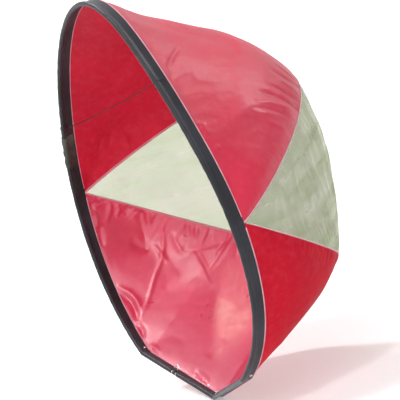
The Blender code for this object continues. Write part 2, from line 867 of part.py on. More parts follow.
def rim_tapes(materials, collection):
    """Tapes over the seam between the sleeve and the panels."""
    span = TOP_ANGLE - WINDOW_CORNER_ANGLE
    shares = upper_shares()[1:]
    angles = [WINDOW_CORNER_ANGLE + span * share for share in shares]
    rows = rim_rows([sleeve_frame(angle) for angle in angles],
                    [arc_depth(angle) for angle in angles], upper_surface, UPPER_ROW_COUNT, shares)
    tape("rim_tape_upper", rows, materials["piping"], collection)
    span = CORNER_ANGLE - WINDOW_CORNER_ANGLE
    shares = [share for share in lower_shares()[2:] if share < LOWER_CORNER_SHARE]
    angles = [WINDOW_CORNER_ANGLE + span * share / LOWER_CORNER_SHARE for share in shares]
    rows = rim_rows([sleeve_frame(angle) for angle in angles],
                    [arc_depth(angle) for angle in angles], lower_surface, LOWER_ROW_COUNT, shares)
    side_tapes("rim_tape_lower", rows, materials["piping"], collection)
    shares = [share for share in lower_shares()[:-1] if share > LOWER_CORNER_SHARE]
    places = [(share - LOWER_CORNER_SHARE) / (1 - LOWER_CORNER_SHARE) for share in shares]
    rows = rim_rows([base_sleeve_frame(place) for place in places],
                    [BASE_SLEEVE_DEPTH] * len(places), lower_surface, LOWER_ROW_COUNT, shares)
    side_tapes("base_tape", rows, materials["piping"], collection)


def side_tapes(name, rows, material, collection):
    tape(name + "_right", rows, material, collection, whole=False)
    left = [[mirrored(point) for point in row] for row in rows]
    tape(name + "_left", left, material, collection, whole=False)


def build_tapes(materials, collection):
    rows = window_rows(upper_shares()[1:], upper_surface, UPPER_ROW_COUNT, True)
    tape("window_tape_upper", rows, materials["tape"], collection)
    shares = merged(upper_shares()[1], upper_shares(), lower_shares())
    rows = window_rows(shares, lower_surface, LOWER_ROW_COUNT, False)
    tape("window_tape_lower", rows, materials["tape"], collection)
    rim_tapes(materials, collection)


# Wraps and ties round the sleeve

def wrap_sections(frames, cover):
    """Sections of a band laid round the sleeve, inside and outside faces."""
    faces = []
    for lift in (TAPE_GAP, TAPE_GAP + WRAP_THICKNESS):
        face = sleeve_section(SLEEVE_NOSE_RADIUS + lift, SLEEVE_WALL + lift,
                              SLEEVE_POCKET_DEPTH, cover)
        faces.append(face[-2:] + face[:-2])
    outline = faces[0] + faces[1][::-1]
    return [[place(frame, 0.0, back, out) for back, out in outline] for frame in frames]


def build_wrap(name, first_angle, last_angle, left, cover, material, collection):
    inside = [angle for angle in arc_stations() if first_angle < angle < last_angle]
    frames = [sleeve_frame(angle) for angle in [first_angle] + inside + [last_angle]]
    if left:
        frames = [mirror_frame(frame) for frame in frames]
    return solid_loft(name, wrap_sections(frames, cover), material, collection)


def tie_half_angle():
    return math.degrees(TIE_WIDTH / 2 / HOOP_RADIUS)


def build_ties(materials, collection):
    cover = SLEEVE_DEPTH - 2 * TAPE_HALF_WIDTH
    half = tie_half_angle()
    build_wrap("line_tie_right", TIE_RIGHT_ANGLE - half, TIE_RIGHT_ANGLE + half, False,
               cover, materials["webbing"], collection)
    build_wrap("line_tie_left", TIE_LEFT_ANGLE - half, TIE_LEFT_ANGLE + half, True,
               cover, materials["webbing"], collection)
    build_wrap("storage_wrap", WRAP_START_ANGLE, WRAP_END_ANGLE, True, cover,
               materials["webbing"], collection)


# Line across the mouth

def tie_point(angle, left):
    """Point on the tie's face that looks across the mouth."""
    reach = SLEEVE_NOSE_RADIUS + TAPE_GAP + WRAP_THICKNESS
    point = place(sleeve_frame(angle), 0.0, LINE_SET_BACK, -reach)
    return mirrored(point) if left else point


def knot_centres():
    """Middles of the right and left knots, each standing on its tie in line with the cord."""
    right, left = tie_point(TIE_RIGHT_ANGLE, False), tie_point(TIE_LEFT_ANGLE, True)
    run = unit(left - right)
    right = right + run * (KNOT_HALF_LENGTH - KNOT_SEAT_RIGHT)
    left = left - run * (KNOT_HALF_LENGTH - KNOT_SEAT_LEFT)
    return right, left, run


def line_points():
    start, end, run = knot_centres()
    start = start + run * (KNOT_HALF_LENGTH + TAPE_GAP)
    end = end - run * (KNOT_HALF_LENGTH + TAPE_GAP)
    points = []
    for i in range(LINE_POINT_COUNT):
        share = i / (LINE_POINT_COUNT - 1)
        sag = 4 * LINE_SAG * share * (1 - share)
        points.append(start + (end - start) * share - np.array((0.0, 0.0, sag)))
    return points


def build_knot(name, centre, along, material, collection):
    """Barrel of turns drawn tight, as a turned profile with three ridges."""
    profile = [(0.0, KNOT_HALF_LENGTH)]
    for i, share in enumerate(KNOT_RADIUS_SHARES):
        height = KNOT_HALF_LENGTH * (1 - 2 * i / (len(KNOT_RADIUS_SHARES) - 1))
        profile.append((KNOT_RADIUS * share, height))
    profile.append((0.0, -KNOT_HALF_LENGTH))
    item = turned(name, profile, TUBE_SIDE_COUNT, material, collection)
    stand(item, centre, along, np.cross(along, np.array((0.0, 1.0, 0.0))))


def build_line(materials, collection):
    start, end, run = knot_centres()
    build_knot("line_knot_right", start, run, materials["line"], collection)
    build_knot("line_knot_left", end, run, materials["line"], collection)
    tube("control_line", line_points(), LINE_RADIUS, materials["line"], collection)
    down = np.array((0.0, 0.0, -1.0))
    tail_start = start + down * (KNOT_RADIUS + TAPE_GAP)
    ahead = run * TAIL_LENGTH
    drop = down * TAIL_LENGTH * TAIL_DROP_SHARE
    tail = []
    for i in range(TAIL_STEP_COUNT + 1):
        share = i / TAIL_STEP_COUNT
        tail.append(tail_start + ahead * share ** 2 + drop * math.sin(math.pi * share / 2))
    tube("line_tail_right", tail, LINE_RADIUS, materials["line"], collection)


# Rings and the loops that hold them

def build_ring(name, origin, bar, direction, material, collection):
    """D ring: a straight bar through the origin and a bow in the given direction."""
    half = RING_WIDTH / 2 - RING_WIRE_RADIUS
    points = []
    for i in range(RING_STEP_COUNT + 1):
        turn = math.pi * i / RING_STEP_COUNT
        bow = RING_DEPTH * math.sin(turn) ** RING_BOW_POWER_SHARE
        points.append((half * math.cos(turn), bow, 0.0))
    item = tube(name, points, RING_WIRE_RADIUS, material, collection, closed=True)
    return stand(item, origin, np.cross(bar, direction), bar)


def deck_loop_frame():
    """The ferrule's axis in the middle of the notch."""
    frame = mirror_frame(base_frame(joint_share()))
    return (mirrored(base_axis_point(joint_share())),) + frame[1:]


def arc_points(centre, radius, first, last, steps):
    """Points of an arc in the plane of an outline, between two angles."""
    turns = [first + (last - first) * i / steps for i in range(steps + 1)]
    return [(centre + radius * math.cos(turn), radius * math.sin(turn)) for turn in turns]


def build_deck_loop(materials, collection):
    """Webbing strap that swivels on the ferrule in the notch and carries a ring."""
    middle, along, back, out = deck_loop_frame()
    lean = math.radians(LOOP_LEAN)
    towards = back * math.cos(lean) - out * math.sin(lean)
    ferrule = BATTEN_RADIUS + SOCKET_CLEARANCE + FERRULE_WALL + LOOP_CLEARANCE
    ring = RING_WIRE_RADIUS + LOOP_CLEARANCE
    reach = ferrule + ring + 3 * LOOP_THICKNESS
    slope = math.asin((ferrule - ring) / reach)
    side = math.pi / 2 - slope
    outline = arc_points(0.0, ferrule + LOOP_THICKNESS, side, 2 * math.pi - side, EYE_STEP_COUNT)
    outline += arc_points(reach, ring + LOOP_THICKNESS, -side, side, EYE_STEP_COUNT)
    eyes = [circle(ferrule, 2 * TUBE_SIDE_COUNT), circle(ring, 2 * TUBE_SIDE_COUNT, reach)]
    item = flat_shape("deck_loop", [outline, *eyes], LOOP_WIDTH, materials["webbing"],
                      collection)
    stand(item, middle, along, towards)
    build_ring("deck_ring", middle + towards * reach, along, towards, materials["steel"],
               collection)


def tip_ring_frame():
    """Bar of the tip ring, above the line from the sleeve's nose to its tail edge."""
    sleeve = tip_mitre()[0]
    nose = place(sleeve, 0.0, SLEEVE_NOSE_RADIUS, -SLEEVE_NOSE_RADIUS)
    tail = place(sleeve, 0.0, BASE_SLEEVE_DEPTH, -SLEEVE_WALL)
    back = unit(tail - nose)
    up = np.cross(sleeve[1], back)
    slope = base_frame(1.0)[1]
    rise = LOOP_WIDTH / 2 * slope.dot(up) / slope.dot(sleeve[1])
    spot = nose + up * (rise + TAPE_GAP + LOOP_THICKNESS + LOOP_CLEARANCE + RING_WIRE_RADIUS)
    spot[0] = 0.0
    return spot, sleeve[1], back, up


def build_tip_tab(materials, collection):
    """Flat webbing tab along the top of the tip's sleeve, folded into an eye in front."""
    spot, along, back, up = tip_ring_frame()
    bore = RING_WIRE_RADIUS + LOOP_CLEARANCE
    outer = bore + LOOP_THICKNESS
    top = 2 * LOOP_THICKNESS - outer
    outline = arc_points(0.0, outer, math.pi / 2, 3 * math.pi / 2, EYE_STEP_COUNT)
    outline += [(TAB_LENGTH, -outer), (TAB_LENGTH, top), (outer, top), (outer, 0.0),
                (outer / 2, outer)]
    item = flat_shape("tip_tab", [outline, circle(bore, 2 * TUBE_SIDE_COUNT)], LOOP_WIDTH,
                      materials["webbing"], collection)
    stand(item, spot, np.cross(back, up), back)
    build_ring("tip_ring", spot, along, unit(back + TIP_RING_LIFT_SHARE * up),
               materials["steel"], collection)


# Eyelets through the sleeve near the corners

def build_eyelet(name, frame, half, sleeve, material, collection, cutters):
    """Metal eyelet: a barrel through the sleeve's tail with a flange on each face."""
    point, along, back, square = frame
    barrel = EYELET_HOLE_RADIUS + EYELET_FLANGE
    face = half + EYELET_FLANGE
    profile = [(EYELET_RADIUS, face), (EYELET_RADIUS, half), (barrel, half), (barrel, -half),
               (EYELET_RADIUS, -half), (EYELET_RADIUS, -face), (EYELET_HOLE_RADIUS, -face),
               (EYELET_HOLE_RADIUS, face)]
    sides = 2 * TUBE_SIDE_COUNT
    centre = point + back * EYELET_SET_BACK
    item = turned(name, profile, sides, material, collection, closed=True)
    stand(item, centre, square, along)
    radius = barrel + TAPE_GAP
    work = bmesh.new()
    bmesh.ops.create_cone(work, cap_ends=True, segments=sides, radius1=radius,
                          radius2=radius, depth=4 * SLEEVE_NOSE_RADIUS)
    tool = cutter(name + "_hole", work, material, cutters)
    cut_away(sleeve, stand(tool, centre, square, along))


def build_eyelets(sleeve, material, collection, cutters):
    step = math.degrees(EYELET_FROM_CORNER / HOOP_RADIUS)
    point, along, back, out = sleeve_frame(CORNER_ANGLE + step)
    ahead = sleeve_frame(CORNER_ANGLE + 2 * step)
    along = unit(seam_point(ahead, EYELET_SET_BACK) - point - back * EYELET_SET_BACK)
    square = unit(np.cross(back, along))
    half = SLEEVE_WALL * out.dot(square) + TAPE_GAP
    right = (point, along, back, square)
    build_eyelet("corner_eyelet_right", right, half, sleeve, material, collection, cutters)
    build_eyelet("corner_eyelet_left", mirror_frame(right), half, sleeve, material,
                 collection, cutters)


def make_materials():
    return {
        "cloth": new_material("red_ripstop", (0.74, 0.06, 0.12), 0.45),
        "window": new_material("clear_vinyl", (0.86, 0.90, 0.86), 0.12, alpha=0.35),
        "sleeve": new_material("black_nylon", (0.035, 0.035, 0.045), 0.38),
        "tape": new_material("window_stitching_tape", (0.85, 0.45, 0.50), 0.6),
        "piping": new_material("rim_piping", (0.88, 0.55, 0.64), 0.55),
        "batten": new_material("glass_fibre_batten", (0.09, 0.09, 0.10), 0.35),
        "elbow": new_material("black_moulded_nylon", (0.05, 0.05, 0.05), 0.5),
        "webbing": new_material("black_webbing", (0.03, 0.03, 0.035), 0.7),
        "line": new_material("dark_cord", (0.10, 0.03, 0.04), 0.7),
        "steel": new_material("stainless_steel", (0.72, 0.72, 0.72), 0.22, 1.0),
        "brass": new_material("nickel_plated_eyelet", (0.74, 0.72, 0.68), 0.28, 1.0),
    }


def build_all():
    clear_scene()
    parts = new_collection(COLLECTION_NAME)
    cutters = new_collection(CUTTER_COLLECTION_NAME)
    materials = make_materials()
    rim = build_rim_sleeve(materials["sleeve"], parts)
    frames = base_station_frames()
    build_base_sleeve("base_sleeve_right", frames, materials["sleeve"], parts)
    left = build_base_sleeve("base_sleeve_left", [mirror_frame(frame) for frame in frames],
                             materials["sleeve"], parts)
    cut_notch(left, materials["sleeve"], cutters)
    build_hoop_batten(materials["batten"], parts)
    build_base_battens(materials["batten"], parts)
    build_elbows(materials["elbow"], parts)
    build_ferrule(materials["steel"], parts)
    build_panel("upper_panel", upper_surface, upper_shares(), UPPER_ROW_COUNT, CLOTH_THICKNESS,
                materials["cloth"], parts)
    build_panel("window_panel", window_surface, upper_shares(), WINDOW_ROW_COUNT,
                WINDOW_THICKNESS, materials["window"], parts)
    build_panel("lower_panel", lower_surface, lower_shares(), LOWER_ROW_COUNT, CLOTH_THICKNESS,
                materials["cloth"], parts)
    build_tapes(materials, parts)
    build_ties(materials, parts)
    build_line(materials, parts)
    build_deck_loop(materials, parts)
    build_tip_tab(materials, parts)
    build_eyelets(rim, materials["brass"], parts, cutters)


build_all()
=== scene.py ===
"""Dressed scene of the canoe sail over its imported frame. Metres, +Z up.

The cloth, sleeve, tapes, webbing and line are made here as fine meshes that lie where the
frame's plain solids are. The mouth faces -Y, the bowl opens to +Y, and t runs over each
panel from the right corner (0) by the middle of the bowl (1) to the left corner (2).
"""

import math

import bmesh
import bpy
import numpy as np
from mathutils import Matrix, Vector, noise


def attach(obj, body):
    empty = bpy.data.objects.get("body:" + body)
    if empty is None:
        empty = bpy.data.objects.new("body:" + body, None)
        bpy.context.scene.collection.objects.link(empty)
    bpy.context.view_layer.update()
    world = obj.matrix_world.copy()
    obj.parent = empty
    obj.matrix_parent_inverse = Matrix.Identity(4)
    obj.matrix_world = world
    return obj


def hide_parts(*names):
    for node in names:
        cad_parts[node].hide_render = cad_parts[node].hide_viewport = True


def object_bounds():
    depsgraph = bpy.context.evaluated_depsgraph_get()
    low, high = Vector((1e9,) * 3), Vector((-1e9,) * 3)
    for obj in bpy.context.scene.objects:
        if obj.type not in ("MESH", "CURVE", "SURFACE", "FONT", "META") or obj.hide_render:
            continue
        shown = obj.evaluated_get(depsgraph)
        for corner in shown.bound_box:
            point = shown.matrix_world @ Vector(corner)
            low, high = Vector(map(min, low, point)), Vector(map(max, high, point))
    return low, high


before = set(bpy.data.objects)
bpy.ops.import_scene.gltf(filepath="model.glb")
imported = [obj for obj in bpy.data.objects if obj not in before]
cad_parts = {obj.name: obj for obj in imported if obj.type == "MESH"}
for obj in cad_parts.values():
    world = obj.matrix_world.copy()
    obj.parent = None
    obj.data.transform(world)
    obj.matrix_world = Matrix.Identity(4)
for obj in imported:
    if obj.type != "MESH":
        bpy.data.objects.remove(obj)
CAD_BOX = [list(corner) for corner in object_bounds()]
ROOT = "sail"

# Driving sizes, as in the part's source
HOOP_RADIUS = 0.535
HOOP_CENTRE_SHARE = 0.9346
HOOP_CENTRE_HEIGHT = HOOP_RADIUS * HOOP_CENTRE_SHARE
HOOP_RADIUS_SHARES = (0.961, 1.007, 0.966, 0.931, 1.011, 1.121)
HOOP_WARP = 0.027
HOOP_WARP_SHARES = (-1.0, -0.26, 0.11, 0.15, 0.26, 0.52)
CORNER_ANGLE = -50.7
TOP_ANGLE = 90.0
TIP_SET_BACK = 0.005
WINDOW_CORNER_ANGLE = 2.9
WINDOW_TOP_DEPTH = 0.492
WINDOW_TOP_HEIGHT = 0.731
WINDOW_BOTTOM_DEPTH = 0.386
WINDOW_BOTTOM_HEIGHT = 0.272
WINDOW_TOP_CURVE_SHARES = (1.114, 1.481, 1.013)
WINDOW_BOTTOM_CURVE_SHARES = (0.727, 0.893, 1.028)
UPPER_BULGE = 0.040
UPPER_BULGE_SHARES = (0.0, 0.55, 0.68, 1.0)
UPPER_BULGE_PEAK_SHARE = 0.717
WINDOW_BULGE = 0.060
WINDOW_BULGE_SHARES = (0.0, 0.03, 1.0)
WINDOW_BULGE_PEAK_SHARE = 0.5
LOWER_BULGE = 0.027
LOWER_BULGE_SHARES = (0.0, 0.78, 1.0, 0.70, 0.67)
LOWER_BULGE_PEAK_SHARE = 0.655
LOWER_CORNER_SHARE = 0.62
BULGE_LEAN_SHARE = 0.5
SLEEVE_DEPTH = 0.038
BASE_SLEEVE_DEPTH = 0.030
SLEEVE_NOSE_RADIUS = 0.0065
SLEEVE_WALL = 0.0008
SLEEVE_POCKET_DEPTH = 0.0185
SLEEVE_FLARE_SHARES = (0.30, 0.22, 0.10, 0.03, 0.0, 0.0)
MITRE_GAP = 0.0004
BATTEN_RADIUS = 0.0030
NOTCH_START_SHARE = 0.41
NOTCH_END_SHARE = 0.49
NOTCH_DEPTH = 0.0145
TAPE_GAP = 0.0003
WRAP_THICKNESS = 0.0012
TIE_RIGHT_ANGLE = 51.5
TIE_LEFT_ANGLE = 27.5
TIE_WIDTH = 0.007
LINE_RADIUS = 0.0013
LINE_POINTS = 41
LINE_SAG = 0.004
LINE_SET_BACK = 0.012
KNOT_RADIUS = 0.0048
KNOT_HALF_LENGTH = 0.009
KNOT_SEAT_RIGHT = 0.0008
KNOT_SEAT_LEFT = 0.0005
TAIL_LENGTH = 0.024
TAIL_DROP_SHARE = 0.45
WRAP_START_ANGLE = 13.0
WRAP_END_ANGLE = 24.1
SOCKET_CLEARANCE = 0.0004
FERRULE_WALL = 0.0009
LOOP_WIDTH = 0.010
LOOP_THICKNESS = 0.0014
LOOP_CLEARANCE = 0.0004
LOOP_LEAN = 70.0
RING_WIRE_RADIUS = 0.0014
RING_WIDTH = 0.017
RING_DEPTH = 0.012
TAB_LENGTH = 0.020
TIP_RING_LIFT_SHARE = 0.5
RING_BOW_POWER_SHARE = 0.8
EYELET_RADIUS = 0.0038
EYELET_HOLE_RADIUS = 0.0020
EYELET_FLANGE = 0.0008
EYELET_SET_BACK = SLEEVE_POCKET_DEPTH + EYELET_RADIUS + EYELET_FLANGE / 2
EYELET_FROM_CORNER = 0.020

# Sizes and grid steps of the visible cloth and its trim
CLOTH = 0.0005
VINYL = 0.0004
TAPE_REACH = 0.0028
TAPE_SKIN = 0.0005
STITCH_PITCH = 0.0042
STITCH_WIDTH = 0.0015
STITCH_RADIUS = 0.00036
RIDGE_STEP = 0.004
RIDGE_RADIUS = 0.0005
EDGE_REACH = 0.0015
EDGE_SKIN = 0.0006
EDGE_GAP = 0.00015
RIM_EDGE_TRIM = 0.014
WRAP_SHORT = 0.006
KNOT_WIRE = 0.00125
KNOT_TURNS = 3
KNOT_TUCK_SHARE = 0.75
KNOT_CORE_SHARE = 1.3
STRAP_SIDE_POWER = 0.25
STRAP_FACE_POWER = 0.45
LOOP_SKIN_SHARE = 0.92
TAB_SKIN_SHARE = 0.95
FLANGE_POWER = 0.7
POCKET_TAIL_SHARE = 0.86
POCKET_DEPTH = SLEEVE_POCKET_DEPTH * 0.93
POCKET_FLAT_SHARE = 0.9
POCKET_GAP_SHARE = 0.4
BASE_END_SHARE = 0.02
EASE_LENGTH = 0.10
REACH_LIMIT_SHARE = 0.45
FOLD_STEPS = 7
FOLD_MARGIN = 4.0
FOLD_POWER = 1.6
WANDER = 1.6
WANDER_SIZE = 0.09
STRENGTH_SIZE = 0.05
GATHER_START = 0.012
GATHER_LEAN = 0.25
SECOND_WAVE_HEIGHT = 0.4
SECOND_WAVE_RATE = 2.3
TAPE_CROWN = 0.00025
TAPE_LIFT = CLOTH / 2 + 0.0001
STITCH_LIFT = TAPE_LIFT + TAPE_SKIN + 0.00022
THREAD_GUIDE = (0.3, 0.5, 0.8)
RIPSTOP_PITCH = 0.0052
RIPSTOP_WIDTH = 0.00045
YARN_PITCH = 0.0007
YARN_WIDTH = 0.0004
EYELET_SEAT = SLEEVE_WALL + 0.0001
CORNER_TRIM = 0.003
RIM_STEPS = 128
BASE_STEPS = 80
UPPER_ROWS = 114
WINDOW_ROWS = 64
LOWER_ROWS = 114
SLEEVE_ROWS = 420
BASE_ROWS = 96
NOSE_STEPS = 12
BAND_STEPS = 6
SHARP_ANGLE = math.radians(50)


# Curves and frames

def spline_through(knots, values, places):
    """Cubic spline, free at its first knot and level at its last."""
    knots = np.asarray(knots, float)
    values = np.asarray(values, float)
    count = len(knots)
    steps = np.diff(knots)
    slopes = np.diff(values) / steps
    matrix = np.zeros((count, count))
    right = np.zeros(count)
    matrix[0, 0] = 1.0
    for i in range(1, count - 1):
        matrix[i, i - 1] = steps[i - 1]
        matrix[i, i] = 2 * (steps[i - 1] + steps[i])
        matrix[i, i + 1] = steps[i]
        right[i] = 6 * (slopes[i] - slopes[i - 1])
    matrix[-1, -2] = steps[-1]
    matrix[-1, -1] = 2 * steps[-1]
    right[-1] = -6 * slopes[-1]
    bend = np.linalg.solve(matrix, right)
    spans = np.clip(np.searchsorted(knots, places, side="right") - 1, 0, count - 2)
    low = places - knots[spans]
    high = knots[spans + 1] - places
    width = steps[spans]
    return (bend[spans] * high ** 3 / (6 * width) + bend[spans + 1] * low ** 3 / (6 * width)
            + (values[spans] / width - bend[spans] * width / 6) * high
            + (values[spans + 1] / width - bend[spans + 1] * width / 6) * low)


def unit(vectors):
    vectors = np.asarray(vectors, float)
    return vectors / np.maximum(np.linalg.norm(vectors, axis=-1, keepdims=True), 1e-12)


def run_lengths(points, axis=0):
    """Distances from the start along a line of points, or along every line of a grid."""
    steps = np.linalg.norm(np.diff(points, axis=axis), axis=-1)
    return np.insert(np.cumsum(steps, axis=axis), 0, 0.0, axis=axis)


def sampled(spots, run, values):
    """Values along a line at distances from its start."""
    return np.stack([np.interp(spots, run, part) for part in values.T], -1)


def arc_points(radius, start, end, count, centre=0.0):
    """Points on a flat arc between two angles in degrees."""
    return [(centre + radius * math.cos(t), radius * math.sin(t))
            for t in np.radians(np.linspace(start, end, count))]


def directions(path, closed):
    """Unit directions along a path of points."""
    before, after = np.roll(path, 1, axis=0), np.roll(path, -1, axis=0)
    if not closed:
        before[0], after[-1] = path[0], path[-1]
    return unit(after - before)


HOOP_KNOTS = np.linspace(CORNER_ANGLE, TOP_ANGLE, len(HOOP_RADIUS_SHARES))
CENTRE = np.array((0.0, 0.0, HOOP_CENTRE_HEIGHT))


def lip(angles):
    """Points of the right half of the hoop's front lip."""
    angles = np.asarray(angles, float)
    radius = HOOP_RADIUS * spline_through(HOOP_KNOTS, HOOP_RADIUS_SHARES, angles)
    warp = HOOP_WARP * spline_through(HOOP_KNOTS, HOOP_WARP_SHARES, angles)
    turn = np.radians(angles)
    return np.stack((radius * np.cos(turn), warp,
                     HOOP_CENTRE_HEIGHT + radius * np.sin(turn)), -1)


def back_directions(points, flares):
    around = points * np.array((1.0, 0.0, 1.0)) - CENTRE
    return unit(np.array((0.0, 1.0, 0.0)) + np.asarray(flares)[..., None] * unit(around))


def arc_frames(angles):
    """Lip points with the directions along the rim, back into the band, and outwards."""
    angles = np.asarray(angles, float)
    step = 0.15
    along = unit(lip(np.minimum(angles + step, TOP_ANGLE))
                 - lip(np.maximum(angles - step, CORNER_ANGLE)))
    points = lip(angles)
    back = back_directions(points, np.interp(angles, HOOP_KNOTS, SLEEVE_FLARE_SHARES))
    return points, along, back, unit(np.cross(back, along))


CORNER = lip(np.array([CORNER_ANGLE]))[0]
TIP = np.array((0.0, TIP_SET_BACK, 0.0))


def base_frames(shares):
    """Frames on the right base edge: share 0 at the corner, 1 at the tip."""
    shares = np.asarray(shares, float)
    points = CORNER + (TIP - CORNER) * shares[:, None]
    along = np.broadcast_to(unit(CORNER - TIP), points.shape)
    back = back_directions(points, np.full(len(points), SLEEVE_FLARE_SHARES[0]))
    return points, along, back, unit(np.cross(back, along))


def flipped(points):
    return np.asarray(points) * np.array((-1.0, 1.0, 1.0))


def mirror_frames(frames):
    points, along, back, out = (flipped(part) for part in frames)
    return points, -along, back, out


def joined_frames(*groups):
    return tuple(np.concatenate(parts) for parts in zip(*groups))


def place(frames, back, out):
    """Points at distances along the frames' directions."""
    back, out = (np.asarray(distance, float)[..., None] for distance in (back, out))
    return frames[0] + frames[2] * back + frames[3] * out


def mitre_frames(first, second):
    """End frames of two sleeves that meet at a bend, in their common mitre plane."""
    along = unit(first[1] + second[1])
    back = first[2]
    out = unit(np.cross(back, along)) / np.sum(along * first[1], -1, keepdims=True)
    return ((first[0] + along * MITRE_GAP, along, back, out),
            (second[0] - along * MITRE_GAP, along, back, out))


CORNER_MITRE = mitre_frames(arc_frames([CORNER_ANGLE]), base_frames([0.0]))
TIP_MITRE = mitre_frames(base_frames([1.0]), mirror_frames(base_frames([1.0])))


def arc_depths(angles):
    share = np.interp(angles, (CORNER_ANGLE, WINDOW_CORNER_ANGLE), (0.0, 1.0))
    return BASE_SLEEVE_DEPTH + (SLEEVE_DEPTH - BASE_SLEEVE_DEPTH) * share


# Panel surfaces, as grids over t and the part from the rim to the window's seam

def arc_seam(angles):
    return place(arc_frames(angles), arc_depths(angles), np.zeros(len(angles)))


def base_seam(shares):
    return place(base_frames(shares), np.full(len(shares), BASE_SLEEVE_DEPTH),
                 np.zeros(len(shares)))


def window_edge(shares, depth, height, curve):
    corner = arc_seam(np.array([WINDOW_CORNER_ANGLE]))[0]
    turn = shares * math.pi / 2
    reach = np.abs(np.sin(turn)) ** curve[1]
    return np.stack((corner[0] * np.maximum(np.cos(turn), 0.0) ** curve[0],
                     corner[1] + (depth - corner[1]) * reach,
                     corner[2] + (height - corner[2]) * reach ** curve[2]), -1)


def window_top(shares):
    return window_edge(shares, WINDOW_TOP_DEPTH, WINDOW_TOP_HEIGHT, WINDOW_TOP_CURVE_SHARES)


def window_bottom(shares):
    return window_edge(shares, WINDOW_BOTTOM_DEPTH, WINDOW_BOTTOM_HEIGHT,
                       WINDOW_BOTTOM_CURVE_SHARES)


def upper_angles(shares):
    return WINDOW_CORNER_ANGLE + (TOP_ANGLE - WINDOW_CORNER_ANGLE) * shares


def lower_angles(shares):
    part = np.minimum(shares / LOWER_CORNER_SHARE, 1.0)
    return WINDOW_CORNER_ANGLE + (CORNER_ANGLE - WINDOW_CORNER_ANGLE) * part


def base_shares(shares):
    return np.maximum(shares - LOWER_CORNER_SHARE, 0.0) / (1 - LOWER_CORNER_SHARE)


def lower_rim(shares):
    on_base = (shares > LOWER_CORNER_SHARE)[:, None]
    return np.where(on_base, base_seam(base_shares(shares)), arc_seam(lower_angles(shares)))


def swell(part, peak):
    """Zero at both edges and one at the peak."""
    near = max(peak / (1 - peak), 1.0)
    far = max((1 - peak) / peak, 1.0)
    top = near / (near + far)
    return part ** near * (1 - part) ** far / (top ** near * (1 - top) ** far)


def panel_grid(start, end, lift):
    """Grid between two edges, lifted by vectors (columns, rows, 3)."""
    part = np.linspace(0.0, 1.0, lift.shape[1])[None, :, None]
    return start[:, None] + (end - start)[:, None] * part + lift


def bulge(shares, rows, height, along_shares, peak):
    knots = np.linspace(0.0, 1.0, len(along_shares))
    high = height * np.interp(shares, knots, along_shares)
    return high[:, None] * swell(np.linspace(0.0, 1.0, rows + 1), peak)[None, :]


def outward_from_centre(points):
    around = unit(points * np.array((1.0, 0.0, 1.0)) - CENTRE)
    return unit(around + np.array((0.0, BULGE_LEAN_SHARE, 0.0)))


def cloth_grid(start, end, high):
    """Cloth between two edges, swollen away from the hoop's centre."""
    return panel_grid(start, end, outward_from_centre(start)[:, None] * high[..., None])


def upper_grid(shares, rows):
    high = bulge(shares, rows, UPPER_BULGE, UPPER_BULGE_SHARES, UPPER_BULGE_PEAK_SHARE)
    return cloth_grid(arc_seam(upper_angles(shares)), window_top(shares), high)


def window_grid(shares, rows):
    turn = shares * math.pi / 2
    away = np.stack((np.cos(turn), np.sin(turn), np.zeros(len(turn))), -1)
    high = bulge(shares, rows, WINDOW_BULGE, WINDOW_BULGE_SHARES, WINDOW_BULGE_PEAK_SHARE)
    return panel_grid(window_top(shares), window_bottom(shares),
                      away[:, None] * high[..., None])


def lower_grid(shares, rows):
    high = bulge(shares, rows, LOWER_BULGE, LOWER_BULGE_SHARES, LOWER_BULGE_PEAK_SHARE)
    return cloth_grid(lower_rim(shares), window_bottom(shares), high)


def whole(grid_of, places, rows):
    """Both halves of a panel: the left half is the right one mirrored."""
    grid = grid_of(np.minimum(places, 2.0 - places), rows)
    return np.where((places > 1.0)[:, None, None], flipped(grid), grid)


def grid_normals(grid):
    normals = unit(np.cross(np.gradient(grid, axis=0), np.gradient(grid, axis=1)))
    middle = tuple(n // 2 for n in grid.shape[:2])
    away = np.dot(normals[middle], grid[middle] - CENTRE)
    return normals if away > 0 else -normals


# Folds in the cloth

def crumple(grid, stretch, size, seed):
    """Sharp-edged noise over the grid, long in the stretched directions, from -0.5 to 0.5."""
    offset = Vector((seed, seed * 2.3, seed * 0.7))
    spots = (grid / (np.asarray(stretch) * size)).reshape(-1, 3)
    values = [(1.0 - abs(noise.noise(Vector(spot) + offset))) ** 2 - 0.5 for spot in spots]
    return np.reshape(values, grid.shape[:2])


